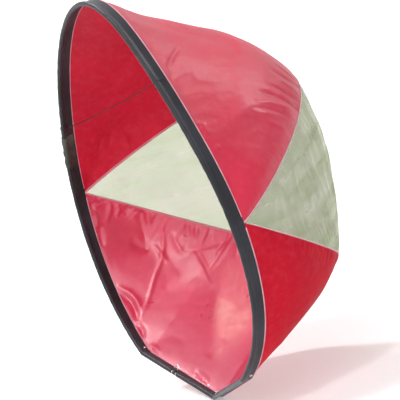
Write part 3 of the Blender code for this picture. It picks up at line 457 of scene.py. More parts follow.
def crease(grid, waypoints, width, height):
    """A long fold through waypoints (t, part), fading at both ends."""
    steps = np.linspace(0.0, len(waypoints) - 1.0, FOLD_STEPS * len(waypoints))
    places, parts = sampled(steps, np.arange(len(waypoints)), np.array(waypoints)).T
    columns = np.interp(places, PLACES, np.arange(len(PLACES)))
    lines = parts * (grid.shape[1] - 1)
    left = columns.astype(int).clip(0, grid.shape[0] - 2)
    low = lines.astype(int).clip(0, grid.shape[1] - 2)
    across, up = (columns - left)[:, None], (lines - low)[:, None]
    path = ((grid[left, low] * (1 - across) + grid[left + 1, low] * across) * (1 - up)
            + (grid[left, low + 1] * (1 - across) + grid[left + 1, low + 1] * across) * up)
    for _ in range(2):
        path[1:-1] = (path[:-2] + path[1:-1] * 2 + path[2:]) / 4
    margin = FOLD_MARGIN * width
    inside = ((grid > path.min(axis=0) - margin) & (grid < path.max(axis=0) + margin)).all(-1)
    points = grid[inside]
    near = np.full(len(points), 1e9)
    strength = np.zeros(len(points))
    for number, (start, stop) in enumerate(zip(path[:-1], path[1:])):
        run = stop - start
        along = ((points - start) @ run / (run @ run)).clip(0.0, 1.0)
        away = np.linalg.norm(points - start - along[:, None] * run, axis=1)
        share = np.sin((number + along) / (len(path) - 1) * math.pi).clip(0.0, 1.0) ** 0.5
        strength = np.where(away < near, share, strength)
        near = np.minimum(near, away)
    relief = np.zeros(grid.shape[:2])
    relief[inside] = height * strength * np.exp(-(near / width) ** FOLD_POWER)
    return relief


def from_edges(grid, reach):
    """Rises from 0 at both edges of a panel to 1 within the reach."""
    length = column_lengths(grid)[:, None]
    part = np.linspace(0.0, 1.0, grid.shape[1])[None, :] * length
    left = length - part
    return np.clip(part / reach, 0.0, 1.0) * np.clip(left / reach, 0.0, 1.0)


def column_lengths(grid):
    return np.linalg.norm(np.diff(grid, axis=1), axis=-1).sum(1)


def gathers(grid, pitch, height, reach, seed):
    """Puckers that run into a panel from the seam at its last row."""
    run = run_lengths(grid[:, -1])
    below = np.linspace(1.0, 0.0, grid.shape[1]) * column_lengths(grid)[:, None]
    wander = np.array([noise.noise(Vector((s / WANDER_SIZE, seed, 0.0))) for s in run])
    strong = np.array([0.5 + noise.noise(Vector((s / STRENGTH_SIZE, seed + 5.0, 0.0)))
                       for s in run])
    phase = (run / pitch + WANDER * wander)[:, None]
    lean = GATHER_LEAN * below / pitch * wander[:, None]
    fade = np.exp(-below / reach) * np.clip(below / GATHER_START, 0.0, 1.0)
    wave = (np.cos(2 * math.pi * (phase + lean)) + SECOND_WAVE_HEIGHT
            * np.cos(2 * math.pi * (SECOND_WAVE_RATE * phase + lean)))
    return height * np.clip(strong, 0.1, 1.0)[:, None] * wave * fade


# Meshes

def link(name, data, *materials):
    """Object of a mesh, curve, camera or lamp in the scene, with its materials."""
    item = bpy.data.objects.new(name, data)
    bpy.context.scene.collection.objects.link(item)
    for material in materials:
        data.materials.append(material)
    return item


def make_mesh(name, points, faces, material, uvs=None):
    mesh = bpy.data.meshes.new(name)
    mesh.from_pydata([tuple(p) for p in np.asarray(points).reshape(-1, 3)], [], faces)
    if uvs is not None:
        layer = mesh.uv_layers.new(name="UVMap")
        loops = np.empty(len(mesh.loops), int)
        mesh.loops.foreach_get("vertex_index", loops)
        layer.data.foreach_set("uv", np.asarray(uvs).reshape(-1, 2)[loops].ravel())
    mesh.shade_smooth()
    mesh.update()
    return link(name, mesh, material)


def grid_faces(columns, rows, closed=False):
    """Quads of a grid of points, its rows closed into rings if asked."""
    faces = []
    last = rows if closed else rows - 1
    for i in range(columns - 1):
        for j in range(last):
            k = (j + 1) % rows
            faces.append((i * rows + j, i * rows + k, (i + 1) * rows + k, (i + 1) * rows + j))
    return faces


def grid_uvs(grid):
    """UVs in metres, by arc length along and across the grid."""
    across = run_lengths(grid, axis=1)
    run = run_lengths(grid[:, grid.shape[1] // 2])
    return np.stack((np.broadcast_to(run[:, None], across.shape), across), -1)


def sheet_mesh(name, grid, materials, thickness):
    """Thin shell with its outer and its inner material, its faces turned outwards."""
    item = make_mesh(name, grid, grid_faces(*grid.shape[:2]), materials[0], grid_uvs(grid))
    item.data.materials.append(materials[1])
    face = item.data.polygons[len(item.data.polygons) // 2]
    if face.normal.dot(face.center - Vector(CENTRE)) <= 0:
        item.data.flip_normals()
    solid = item.modifiers.new("cloth", "SOLIDIFY")
    solid.material_offset = 1
    solid.thickness = thickness
    solid.offset = 0.0
    return item


def fix_normals(item):
    work = bmesh.new()
    work.from_mesh(item.data)
    bmesh.ops.recalc_face_normals(work, faces=work.faces)
    work.to_mesh(item.data)
    work.free()


def tube_of_sections(name, sections, material, closed=False):
    """Skin through closed sections (columns, points, 3), with flat ends unless closed."""
    columns, rows = sections.shape[:2]
    faces = grid_faces(columns, rows, closed=True)
    last = rows * (columns - 1)
    if closed:
        faces += [(last + j, last + (j + 1) % rows, (j + 1) % rows, j) for j in range(rows)]
    else:
        faces += [tuple(range(rows))[::-1], tuple(range(last, last + rows))]
    item = make_mesh(name, sections, faces, material, grid_uvs(sections))
    item.data.set_sharp_from_angle(angle=SHARP_ANGLE)
    fix_normals(item)
    return item


def join_pieces(name, pieces):
    """One object of several, with all their materials."""
    work = bmesh.new()
    materials = []
    for piece in pieces:
        material = piece.data.materials[0]
        if material not in materials:
            materials.append(material)
        for polygon in piece.data.polygons:
            polygon.material_index = materials.index(material)
        work.from_mesh(piece.data)
        bpy.data.objects.remove(piece)
    mesh = bpy.data.meshes.new(name)
    work.to_mesh(mesh)
    work.free()
    return link(name, mesh, *materials)


def finish_piece(item, node, body=ROOT):
    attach(item, body)
    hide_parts(node)
    return item


# Materials

class Tree:
    """Node tree of a material or the world, with short calls for what they need."""

    def __init__(self, owner):
        owner.use_nodes = True
        self.owner = owner
        self.nodes, self.links = owner.node_tree.nodes, owner.node_tree.links

    def feed(self, socket, value):
        """Link a socket to another node's output, or set it to a number or a colour."""
        if isinstance(value, bpy.types.NodeSocket):
            self.links.new(value, socket)
        else:
            socket.default_value = (*value, 1.0) if socket.type == "RGBA" else value

    def fill(self, node, values):
        """Set a node's properties and, by name, its sockets."""
        for key, value in values.items():
            if hasattr(node, key):
                setattr(node, key, value)
            else:
                self.feed(node.inputs[key.replace("_", " ")], value)

    def node(self, kind, output=0, **values):
        node = self.nodes.new("ShaderNode" + kind)
        self.fill(node, values)
        return node.outputs[output]

    def math(self, operation, *values):
        node = self.nodes.new("ShaderNodeMath")
        node.operation = operation
        for socket, value in zip(node.inputs, values):
            self.feed(socket, value)
        return node.outputs[0]

    def mix(self, share, first, second):
        """Mix of two colours."""
        node = self.nodes.new("ShaderNodeMix")
        node.data_type = "RGBA"
        for index, value in ((0, share), (6, first), (7, second)):
            self.feed(node.inputs[index], value)
        return node.outputs[2]

    def spread(self, value, low, high, start=0.0, end=1.0):
        """The value's range from low to high, carried to start to end."""
        return self.node("MapRange", Value=value, From_Min=low, From_Max=high, To_Min=start,
                         To_Max=end)

    def noise(self, scale, detail=3.0, roughness=0.55, distortion=0.0, spot=None):
        """Noise over the object's own space, or at the spot given."""
        if spot is None:
            spot = self.node("TexCoord", "Object")
        return self.node("TexNoise", "Fac", Scale=scale, Detail=detail, Roughness=roughness,
                         Distortion=distortion, Vector=spot)

    def stripes(self, axis, pitch, width):
        """One on thin lines a pitch apart along (0) or across (1) the cloth."""
        run = self.node("SeparateXYZ", axis, Vector=self.node("UVMap", uv_map="UVMap"))
        spot = self.math("PINGPONG", self.math("MULTIPLY", run, 1.0 / pitch), 0.5)
        return self.spread(spot, width / pitch, 0.3 * width / pitch)

    def weave(self, operation, pitch, width):
        """Stripes both ways, joined by the operation."""
        return self.math(operation, *(self.stripes(axis, pitch, width) for axis in (0, 1)))

    def bump(self, height, strength, distance):
        return self.node("Bump", Height=height, Strength=strength, Distance=distance)

    def seen_directly(self):
        """One for camera, glossy and transmitted rays."""
        camera, glossy, transmitted = (self.node("LightPath", "Is %s Ray" % kind)
                                       for kind in ("Camera", "Glossy", "Transmission"))
        return self.math("MAXIMUM", self.math("MAXIMUM", camera, glossy), transmitted)

    def shader(self, **values):
        """The material's own shader, set as asked."""
        node = self.nodes["Principled BSDF"]
        self.fill(node, values)
        return node.outputs[0]

    def blend(self, *values, kind="Mix", output="Material Output"):
        """Show a mix of two shaders, or their sum."""
        node = self.nodes.new("ShaderNode%sShader" % kind)
        for socket, value in zip(node.inputs, values):
            self.feed(socket, value)
        self.links.new(node.outputs[0], self.nodes[output].inputs["Surface"])


def new_tree(name):
    return Tree(bpy.data.materials.new(name))


def cloth_material(name, colour, see_through, roughness, gloss, sheen, index=1.5):
    """Red ripstop nylon: woven squares, slow colour changes, and light through it."""
    deep = tuple(part * 0.86 for part in colour)
    light = tuple(part + (1.0 - part) * 0.09 for part in colour)
    tree = new_tree(name)
    slow = tree.noise(4.0, 4.0, 0.6)
    fine = tree.spread(tree.noise(55.0, 4.0, 0.65), 0.45, 0.8, 0.0, 0.35)
    squares = tree.weave("MAXIMUM", RIPSTOP_PITCH, RIPSTOP_WIDTH)
    tone = tree.mix(tree.spread(slow, 0.35, 0.7), deep, colour)
    tone = tree.mix(fine, tone, light)
    tone = tree.mix(tree.math("MULTIPLY", squares, 0.28), tone, light)
    yarn = tree.weave("MULTIPLY", YARN_PITCH, YARN_WIDTH)
    height = tree.math("MULTIPLY_ADD", yarn, 0.15, squares)
    height = tree.math("MULTIPLY_ADD", tree.noise(26.0, 5.0, 0.55, 0.6), 6.0, height)
    normal = tree.bump(height, 0.35, 0.0004)
    rough = tree.spread(slow, 0.3, 0.75, roughness - 0.06, roughness + 0.1)
    shell = tree.shader(Base_Color=tone, Normal=normal, Roughness=rough, Sheen_Weight=sheen,
                        Sheen_Roughness=0.4, Sheen_Tint=(1.0, 0.75, 0.82),
                        Specular_IOR_Level=gloss, IOR=index)
    tree.blend(see_through, shell, tree.node("BsdfTranslucent", Color=tone, Normal=normal))
    return tree.owner


def vinyl_material(name):
    """Clear vinyl, a little milky, streaked along its wrinkles, with rub marks."""
    tree = new_tree(name)
    turned = tree.node("Mapping", Vector=tree.node("TexCoord", "Object"),
                       Rotation=(0.5, 0.3, 0.0), Scale=(0.22, 0.22, 1.8))
    waves = tree.noise(9.0, 3.0, 0.5, 1.2)
    streaks = tree.noise(13.0, 3.0, 0.5, 0.8, turned)
    rubs = tree.noise(90.0, 4.0, 0.7)
    milky = tree.mix(tree.spread(waves, 0.35, 0.7), (0.46, 0.49, 0.41), (0.76, 0.77, 0.71))
    tint = tree.mix(tree.spread(streaks, 0.35, 0.65), (0.70, 0.73, 0.63), (0.82, 0.83, 0.76))
    haze = tree.shader(Base_Color=milky, Specular_IOR_Level=0.7,
                       Normal=tree.bump(tree.math("ADD", waves, streaks), 0.5, 0.002),
                       Roughness=tree.spread(rubs, 0.4, 0.8, 0.05, 0.18))
    tree.blend(tree.spread(streaks, 0.40, 0.72, 0.14, 0.32),
               tree.node("BsdfTransparent", Color=tint), haze)
    return tree.owner


def nylon_material(name, dark, rubbed_and_sheen, roughness, pitch=0.0011):
    """Woven nylon band: fine weave, paler in noise patches, and soft sheen; the patches are rub
    wear, and on the wrap painted sheen too.
    """
    tree = new_tree(name)
    fine = tree.noise(160.0, 3.0, 0.6)
    weave = tree.weave("MAXIMUM", pitch, pitch * 0.5)
    tone = tree.mix(tree.spread(tree.noise(7.0, 4.0, 0.6), 0.42, 0.68), dark, rubbed_and_sheen)
    tree.shader(Base_Color=tree.mix(tree.math("MULTIPLY", weave, 0.3), tone, rubbed_and_sheen),
                Normal=tree.bump(tree.math("MULTIPLY_ADD", fine, 2.0, weave), 0.4, 0.0003),
                Roughness=tree.spread(fine, 0.3, 0.8, roughness - 0.08, roughness + 0.08),
                Sheen_Weight=0.12, Sheen_Roughness=0.35, Sheen_Tint=(0.7, 0.78, 0.9),
                Specular_IOR_Level=0.30)
    return tree.owner


def tape_material(name, colour, worn, gloss=0.4):
    """Binding tape: ribbed weave with a little soiling."""
    tree = new_tree(name)
    soil = tree.noise(30.0, 4.0, 0.6)
    ribs = tree.stripes(0, 0.0010, 0.0006)
    tone = tree.mix(tree.spread(soil, 0.4, 0.7), colour, worn)
    tree.shader(Base_Color=tree.mix(tree.math("MULTIPLY", ribs, 0.25), tone, worn),
                Normal=tree.bump(ribs, 0.5, 0.0003), Specular_IOR_Level=gloss,
                Roughness=tree.spread(soil, 0.3, 0.8, 0.5, 0.68))
    return tree.owner


def plain_material(name, colour, roughness, metallic=0.0, grain=300.0, depth=0.0001):
    """Moulded, drawn or spun material with a fine grain and worn spots."""
    tree = new_tree(name)
    fine = tree.noise(grain, 4.0, 0.6)
    slow = tree.noise(grain / 6, 3.0, 0.6)
    worn = tuple(min(1.0, part * 1.3) for part in colour)
    tree.shader(Base_Color=tree.mix(tree.spread(slow, 0.4, 0.7), colour, worn),
                Normal=tree.bump(fine, 0.3, depth), Metallic=metallic,
                Roughness=tree.spread(fine, 0.3, 0.8, roughness - 0.05, roughness + 0.08))
    return tree.owner


# Outside and inside faces of one red ripstop. The upper panel's inside colour is darker than its
# outside: painted shade under the bowl's top.
UPPER_CLOTH = (cloth_material("red_ripstop_upper", (0.82, 0.020, 0.080), 0.22, 0.36, 0.55,
                              0.03),
               cloth_material("red_ripstop_upper_inside_painted_shade", (0.74, 0.018, 0.060), 0.28, 0.42,
                              0.12, 0.0))
# The lower panel's outside is a deeper, more saturated red than the upper's: painted shade. Its
# inside is pinker: painted sheen and light on the lit floor of the bowl.
LOWER_CLOTH = (cloth_material("red_ripstop_lower", (0.80, 0.012, 0.045), 0.34, 0.50, 0.08,
                              0.0),
               cloth_material("red_ripstop_lower_inside_painted_sheen", (0.82, 0.040, 0.135), 0.22, 0.30,
                              1.0, 0.10, 1.6))
WINDOW_VINYL = vinyl_material("clear_vinyl_window")
SLEEVE_NYLON = nylon_material("black_nylon_band", (0.008, 0.008, 0.011),
                              (0.030, 0.031, 0.042), 0.40)
# The wrap's pale grey-green patches are painted sheen: reflections of the surroundings on its
# glossy nylon.
WRAP_NYLON = nylon_material("glossy_wrap", (0.012, 0.015, 0.012), (0.10, 0.12, 0.10), 0.24,
                            0.0016)
WEBBING = nylon_material("black_webbing", (0.012, 0.012, 0.014), (0.045, 0.045, 0.052), 0.55,
                         0.0014)
TAPE = tape_material("window_tape", (0.66, 0.12, 0.19), (0.52, 0.07, 0.12))
PIPING = tape_material("rim_edge", (0.82, 0.46, 0.53), (0.60, 0.24, 0.32))
CORD = tape_material("braided_line", (0.045, 0.006, 0.009), (0.075, 0.010, 0.014), 0.08)
THREAD = plain_material("white_thread", (0.88, 0.84, 0.82), 0.6, grain=900.0)
STEEL = plain_material("stainless_wire", (0.62, 0.62, 0.62), 0.22, 1.0, 400.0, 0.00003)
NICKEL = plain_material("nickel_plate", (0.66, 0.63, 0.57), 0.26, 1.0, 300.0, 0.00004)
GLASS_FIBRE = plain_material("glass_fibre", (0.085, 0.085, 0.080), 0.35, grain=260.0)
MOULDED = plain_material("moulded_nylon", (0.035, 0.035, 0.036), 0.5)


# Panels

HALF = np.concatenate((np.linspace(CORNER_TRIM, LOWER_CORNER_SHARE, RIM_STEPS + 1),
                       np.linspace(LOWER_CORNER_SHARE, 1.0, BASE_STEPS + 1)[1:]))
PLACES = np.concatenate((HALF, 2.0 - HALF[-2::-1]))

# Folds read from the photograph: waypoints (t, part), width and height
UPPER_CREASES = (
    (((0.748, 0.255), (0.672, 0.155), (0.606, 0.064)), 0.006, -0.003),
    (((0.389, 0.118), (0.36, 0.109), (0.332, 0.1)), 0.008, 0.0035),
    (((0.304, 0.173), (0.289, 0.166), (0.28, 0.164)), 0.007, 0.0035),
    (((0.12, 0.25), (0.06, 0.34), (0.03, 0.39)), 0.008, 0.003),
    (((0.91, 0.08), (0.872, 0.346), (0.864, 0.5), (0.85, 0.64)), 0.075, -0.0105),
    (((0.604, 0.985), (0.542, 0.854), (0.517, 0.715), (0.513, 0.577), (0.464, 0.485),
      (0.402, 0.362), (0.344, 0.2), (0.3, 0.06)), 0.042, 0.008),
    (((0.507, 0.6), (0.525, 0.76), (0.545, 0.96)), 0.007, -0.004),
    (((0.54, 0.64), (0.56, 0.78), (0.58, 0.98)), 0.008, 0.004),
    (((0.608, 0.69), (0.604, 0.831), (0.608, 0.99)), 0.008, -0.005),
    (((0.656, 0.74), (0.648, 0.869), (0.66, 0.99)), 0.007, -0.005),
    (((0.7, 0.82), (0.695, 0.89), (0.7, 0.98)), 0.006, 0.0035),
    (((0.744, 0.79), (0.736, 0.9), (0.752, 0.99)), 0.007, -0.005),
    (((0.8, 0.82), (0.79, 0.9), (0.79, 0.98)), 0.006, -0.0035),
    (((0.47, 0.76), (0.48, 0.86), (0.49, 0.97)), 0.007, 0.003),
    (((1.696, 0.527), (1.744, 0.564), (1.786, 0.582)), 0.009, 0.0045),
    (((1.659, 0.745), (1.682, 0.864), (1.701, 0.95)), 0.008, -0.005),
    (((1.668, 0.6), (1.706, 0.664), (1.744, 0.718)), 0.009, 0.0045),
    (((1.73, 0.06), (1.715, 0.291), (1.68, 0.5), (1.659, 0.745), (1.64, 0.9)), 0.016,
     0.005),
)
LOWER_CREASES = (
    (((1.961, 0.3), (1.95, 0.48), (1.93, 0.85)), 0.0045, -0.004),
    (((1.935, 0.28), (1.925, 0.52), (1.905, 0.88)), 0.005, -0.0045),
    (((1.95, 0.15), (1.938, 0.4), (1.917, 0.9)), 0.0045, 0.003),
    (((1.905, 0.9), (1.87, 0.6), (1.85, 0.3)), 0.007, -0.0045),
    (((1.875, 0.96), (1.85, 0.8), (1.835, 0.6)), 0.006, -0.004),
    (((1.83, 0.98), (1.82, 0.88), (1.822, 0.76)), 0.007, 0.0045),
    (((1.75, 0.985), (1.735, 0.9), (1.705, 0.79)), 0.008, -0.006),
    (((1.54, 0.99), (1.52, 0.93), (1.5, 0.88)), 0.006, -0.006),
    (((1.466, 0.985), (1.458, 0.93), (1.462, 0.85)), 0.007, -0.0045),
    (((1.384, 0.985), (1.38, 0.93), (1.39, 0.86)), 0.008, 0.0045),
    (((1.32, 0.99), (1.312, 0.93), (1.29, 0.84)), 0.008, -0.004),
    (((1.687, 0.973), (1.654, 0.836), (1.611, 0.682), (1.583, 0.555), (1.564, 0.409),
      (1.517, 0.182), (1.508, 0.073)), 0.0055, -0.0042),
    (((1.775, 0.95), (1.763, 0.873), (1.725, 0.718), (1.654, 0.536)), 0.011, 0.006),
    (((1.569, 0.955), (1.555, 0.909), (1.55, 0.855)), 0.009, 0.006),
    (((1.626, 0.036), (1.583, 0.082), (1.545, 0.075), (1.508, 0.045)), 0.009, 0.007),
    (((1.66, 0.02), (1.61, 0.11), (1.57, 0.14), (1.52, 0.12)), 0.008, -0.005),
    (((1.498, 0.03), (1.47, 0.04), (1.44, 0.015)), 0.008, 0.005),
    (((1.4, 0.03), (1.37, 0.04), (1.34, 0.03)), 0.006, -0.0035),
    (((1.432, 0.727), (1.385, 0.673), (1.328, 0.609)), 0.0055, -0.0028),
    (((1.493, 0.809), (1.423, 0.736), (1.333, 0.618)), 0.006, 0.003),
    (((1.143, 0.164), (1.133, 0.236), (1.123, 0.309)), 0.02, 0.003),
    (((1.16, 0.05), (1.114, 0.04), (1.081, 0.02)), 0.009, 0.005),
    (((1.955, 0.25), (1.937, 0.2), (1.89, 0.327)), 0.008, 0.006),
    (((1.928, 0.336), (1.9, 0.2), (1.87, 0.12)), 0.007, -0.0045),
    (((1.862, 0.182), (1.833, 0.109), (1.8, 0.06)), 0.009, 0.006),
    (((1.649, 0.645), (1.607, 0.609), (1.555, 0.582)), 0.007, -0.0035),
    (((1.734, 0.482), (1.687, 0.518), (1.644, 0.564)), 0.013, 0.005),
    (((1.611, 0.845), (1.569, 0.764), (1.517, 0.709)), 0.008, -0.004),
    (((1.342, 0.982), (1.389, 0.927), (1.451, 0.845), (1.522, 0.755)), 0.007, 0.0035),
)


# Crumples of each panel: stretch, size, seed and height
UPPER_CRUMPLES = (((1.0, 1.0, 2.2), 0.16, 3.1, 0.0045),
                  ((1.0, 2.5, 1.0), 0.035, 8.4, 0.0012))
WINDOW_CRUMPLES = (((1.0, 1.0, 1.4), 0.14, 9.2, 0.0060),
                   ((1.0, 1.0, 2.6), 0.032, 4.4, 0.0020))
LOWER_BILLOW = ((1.0, 1.0, 2.0), 0.17, 5.7, 0.0040)
LOWER_CRUMPLE = ((1.0, 1.0, 2.6), 0.045, 1.9, 0.0014)
LOWER_FINE_CRUMPLE = ((1.0, 1.0, 1.8), 0.020, 6.3, 0.0011)


def creases(grid, folds):
    return sum(crease(grid, *fold) for fold in folds)


def crumples(grid, *rows):
    return sum(crumple(grid, stretch, size, seed) * height
               for stretch, size, seed, height in rows)


def soften(values):
    padded = np.pad(values, 1, mode="edge")
    return (padded[1:-1, 1:-1] * 2 + padded[:-2, 1:-1] + padded[2:, 1:-1]
            + padded[1:-1, :-2] + padded[1:-1, 2:]) / 6


def upper_relief(grid):
    return (crumples(grid, *UPPER_CRUMPLES) * from_edges(grid, reach=0.030)
            + creases(grid, UPPER_CREASES) * from_edges(grid, reach=0.010)
            + gathers(grid, pitch=0.026, height=0.0014, reach=0.035, seed=2.0))


def lower_relief(grid):
    """Billows with smaller crumples that grow towards the window's seam, the finest last."""
    below = np.linspace(0.0, 1.0, grid.shape[1])[None, :] ** 2
    small = crumples(grid, LOWER_CRUMPLE)
    small += crumples(grid, LOWER_FINE_CRUMPLE) * np.clip(below * 3.0 - 1.4, 0.0, 1.0)
    relief = (crumples(grid, LOWER_BILLOW) + small * (0.30 + below)
              + creases(grid, LOWER_CREASES))
    return (relief * from_edges(grid, reach=0.007)
            + gathers(grid, pitch=0.017, height=0.0026, reach=0.050, seed=7.0))


def window_relief(grid):
    return (crumples(grid, *WINDOW_CRUMPLES) * from_edges(grid, reach=0.030)
            + gathers(grid, pitch=0.045, height=0.0016, reach=0.060, seed=11.0))


def dress_panel(node, grid_of, rows, relief_of, materials, thickness):
    """Panel with its folds, which fade where the panel narrows to its corners."""
    grid = whole(grid_of, PLACES, rows)
    ease = np.minimum(column_lengths(grid) / EASE_LENGTH, 1.0)[:, None]
    relief = soften(relief_of(grid)) * ease
    grid = grid + grid_normals(grid) * relief[..., None]
    item = sheet_mesh(node + "_cloth", grid, materials, thickness)
    return finish_piece(item, node), grid


UPPER, UPPER_GRID = dress_panel("upper_panel", upper_grid, UPPER_ROWS, upper_relief,
                                UPPER_CLOTH, CLOTH)
WINDOW, WINDOW_GRID = dress_panel("window_panel", window_grid, WINDOW_ROWS,
                                  window_relief, (WINDOW_VINYL, WINDOW_VINYL), VINYL)
LOWER, LOWER_GRID = dress_panel("lower_panel", lower_grid, LOWER_ROWS, lower_relief,
                                LOWER_CLOTH, CLOTH)


# Sleeve

def teardrop(depth, lift=0.0):
    """Round nose about the batten, easing into a flat band of two plies."""
    turns = np.linspace(math.pi / 2, 3 * math.pi / 2, NOSE_STEPS + 1)
    radius = SLEEVE_NOSE_RADIUS + lift
    nose = np.stack((SLEEVE_NOSE_RADIUS + radius * np.cos(turns), radius * np.sin(turns)), -1)
    shares = np.linspace(0.0, 1.0, BAND_STEPS + 1)[1:]
    wall = SLEEVE_WALL + lift
    ease = shares ** 2 * (3 - 2 * shares)
    blend = np.stack((SLEEVE_NOSE_RADIUS + (SLEEVE_POCKET_DEPTH - SLEEVE_NOSE_RADIUS) * shares,
                      -(radius + (wall - radius) * ease)), -1)
    flat = np.stack((SLEEVE_POCKET_DEPTH + (depth - SLEEVE_POCKET_DEPTH) * shares,
                     np.full(BAND_STEPS, -wall)), -1)
    lower = np.concatenate((blend, flat))
    return np.concatenate((nose, lower, lower[::-1] * np.array((1.0, -1.0))))


def sleeve_grid(frames, depths, shape=teardrop):
    sections = np.stack([shape(depth) for depth in depths])
    points, _, back, out = (part[:, None] for part in frames)
    return points + back * sections[..., :1] + out * sections[..., 1:]


def base_depths(frames):
    return np.full(len(frames[0]), BASE_SLEEVE_DEPTH)


def ruffled(grid, seed, size, height, ends, hold=1.0):
    """The grid with fine sags that fade at its ends."""
    steps = np.arange(len(grid))
    fade = np.clip(np.minimum(steps, steps[::-1]) / ends, 0.0, 1.0)[:, None]
    away = unit(grid - grid.mean(axis=1, keepdims=True))
    lift = crumple(grid, (1.0, 1.0, 1.0), size, seed) * height * hold * fade
    return grid + away * lift[..., None]


def sleeve_piece(name, node, frames, depths, seed):
    """Sleeve that sags between its seams and not at its tail edge."""
    grid = sleeve_grid(frames, depths)
    hold = 1.0 - np.abs(np.linspace(-1.0, 1.0, grid.shape[1])) ** 6
    grid = ruffled(grid, seed, size=0.022, height=0.0011, ends=3.0, hold=hold)
    return finish_piece(tube_of_sections(name, grid, SLEEVE_NYLON), node)


def rim_frames():
    """Stations round the whole arc, with the mitres at both lower corners."""
    angles = np.linspace(CORNER_ANGLE + 1.0, TOP_ANGLE, SLEEVE_ROWS // 2)
    right = joined_frames(CORNER_MITRE[0], arc_frames(angles))
    depths = np.concatenate(([BASE_SLEEVE_DEPTH], arc_depths(angles)))
    left = tuple(part[-2::-1] for part in mirror_frames(right))
    return joined_frames(right, left), np.concatenate((depths, depths[-2::-1]))


def base_edge_frames(start, end, mitred=True):
    shares = np.linspace(max(start, BASE_END_SHARE), min(end, 1 - BASE_END_SHARE),
                         int(BASE_ROWS * (end - start)) + 2)
    frames = base_frames(shares)
    if mitred and start <= 0.0:
        frames = joined_frames(CORNER_MITRE[1], frames)
    if mitred and end >= 1.0:
        frames = joined_frames(frames, TIP_MITRE[0])
    return frames


def pocket(depth):
    """Bore of the sleeve, with as many points as its outside."""
    section = teardrop(depth)
    scale = 1 - SLEEVE_WALL / SLEEVE_NOSE_RADIUS
    shrunk = section * np.array((1.0, scale))
    inside = np.where(section[:, 0] > SLEEVE_NOSE_RADIUS, POCKET_TAIL_SHARE, scale)
    shrunk[:, 0] = SLEEVE_NOSE_RADIUS + (section[:, 0] - SLEEVE_NOSE_RADIUS) * inside
    flat = section[:, 0] > SLEEVE_POCKET_DEPTH * POCKET_FLAT_SHARE
    shrunk[flat, 1] = np.sign(section[flat, 1]) * SLEEVE_WALL * POCKET_GAP_SHARE
    return shrunk


def hollow_part(name, frames):
    """Sleeve whose pocket is open at its ends."""
    outer = sleeve_grid(frames, base_depths(frames))
    inner = sleeve_grid(frames, np.full(len(frames[0]), POCKET_DEPTH), pocket)
    columns, rows = outer.shape[:2]
    size = columns * rows
    faces = grid_faces(columns, rows, closed=True)
    faces += [tuple(index + size for index in face[::-1]) for face in list(faces)]
    for column in (0, columns - 1):
        for row in range(rows):
            a, b = column * rows + row, column * rows + (row + 1) % rows
            faces.append((a, b, b + size, a + size))
    item = make_mesh(name, np.concatenate((outer, inner)), faces, SLEEVE_NYLON,
                     np.concatenate((grid_uvs(outer), grid_uvs(inner))))
    fix_normals(item)
    item.data.set_sharp_from_angle(angle=SHARP_ANGLE)
    return item


def band_only(depth):
    """What the notch leaves: the flat tail behind the cut."""
    full = teardrop(depth)
    keep = np.maximum(full[:, 0], NOTCH_DEPTH)
    width = np.interp(keep, (SLEEVE_NOSE_RADIUS, SLEEVE_POCKET_DEPTH),
                      (SLEEVE_NOSE_RADIUS, SLEEVE_WALL))
    out = np.where(full[:, 0] < NOTCH_DEPTH,
                   np.clip(full[:, 1], -width, width) * 0.5, full[:, 1])
    return np.stack((keep, out), -1)


def left_base():
    """Left base sleeve in three runs, the middle one cut back to its tail."""
    outer = mirror_frames(base_edge_frames(0.0, NOTCH_START_SHARE))
    inner = mirror_frames(base_edge_frames(NOTCH_END_SHARE, 1.0))
    middle = mirror_frames(base_edge_frames(NOTCH_START_SHARE, NOTCH_END_SHARE, False))
    grid = sleeve_grid(middle, base_depths(middle), band_only)
    return join_pieces("base_sleeve_left_band", [
        hollow_part("left_outer", outer), hollow_part("left_inner", inner),
        tube_of_sections("left_notch", grid, SLEEVE_NYLON)])


sleeve_piece("rim_sleeve_band", "rim_sleeve", *rim_frames(), 4.4)
RIGHT_BASE = base_edge_frames(0.0, 1.0)
sleeve_piece("base_sleeve_right_band", "base_sleeve_right", RIGHT_BASE,
             base_depths(RIGHT_BASE), 6.1)
finish_piece(left_base(), "base_sleeve_left")


# Tapes and stitches

def at_distance(grid, distances, from_end):
    """Points at distances from a panel's edge, measured over the cloth, with their normals."""
    lines, normals = grid, grid_normals(grid)
    if from_end:
        lines, normals = lines[:, ::-1], normals[:, ::-1]
    points, sides = [], []
    for line, side, run in zip(lines, normals, run_lengths(lines, axis=1)):
        reach = np.minimum(distances, run[-1] * REACH_LIMIT_SHARE)
        points.append(sampled(reach, run, line))
        sides.append(sampled(reach, run, side))
    return np.array(points), unit(sides)


def seam_rails(first, second, reach, steps):
    """Points and outward normals across a seam, from the first side to the second."""
    distances = np.linspace(0.0, reach, steps + 1)[1:]
    a, na = first(distances)
    b, nb = second(distances)
    seam = (first(np.zeros(1))[0] + second(np.zeros(1))[0]) / 2
    side = unit(na[:, :1] + nb[:, :1])
    return (np.concatenate((a[:, ::-1], seam, b), axis=1),
            np.concatenate((na[:, ::-1], side, nb), axis=1))


def ribbon(name, rails, lift, material, thickness):
    """Tape laid on one face of the cloth, crowned along its middle."""
    points, normals = rails
    rows = points.shape[1]
    crown = np.sin(np.linspace(0.0, math.pi, rows)) * TAPE_CROWN
    sign = math.copysign(1.0, lift)
    bottom = points + normals * lift
    top = bottom + normals * (sign * (thickness + crown))[None, :, None]
    ring = np.concatenate((bottom, top[:, ::-1]), axis=1)
    return tube_of_sections(name, ring, material)


def both_faces(name, rails, lift, material, thickness):
    return [ribbon(name + "_out", rails, lift, material, thickness),
            ribbon(name + "_in", rails, -lift, material, thickness)]


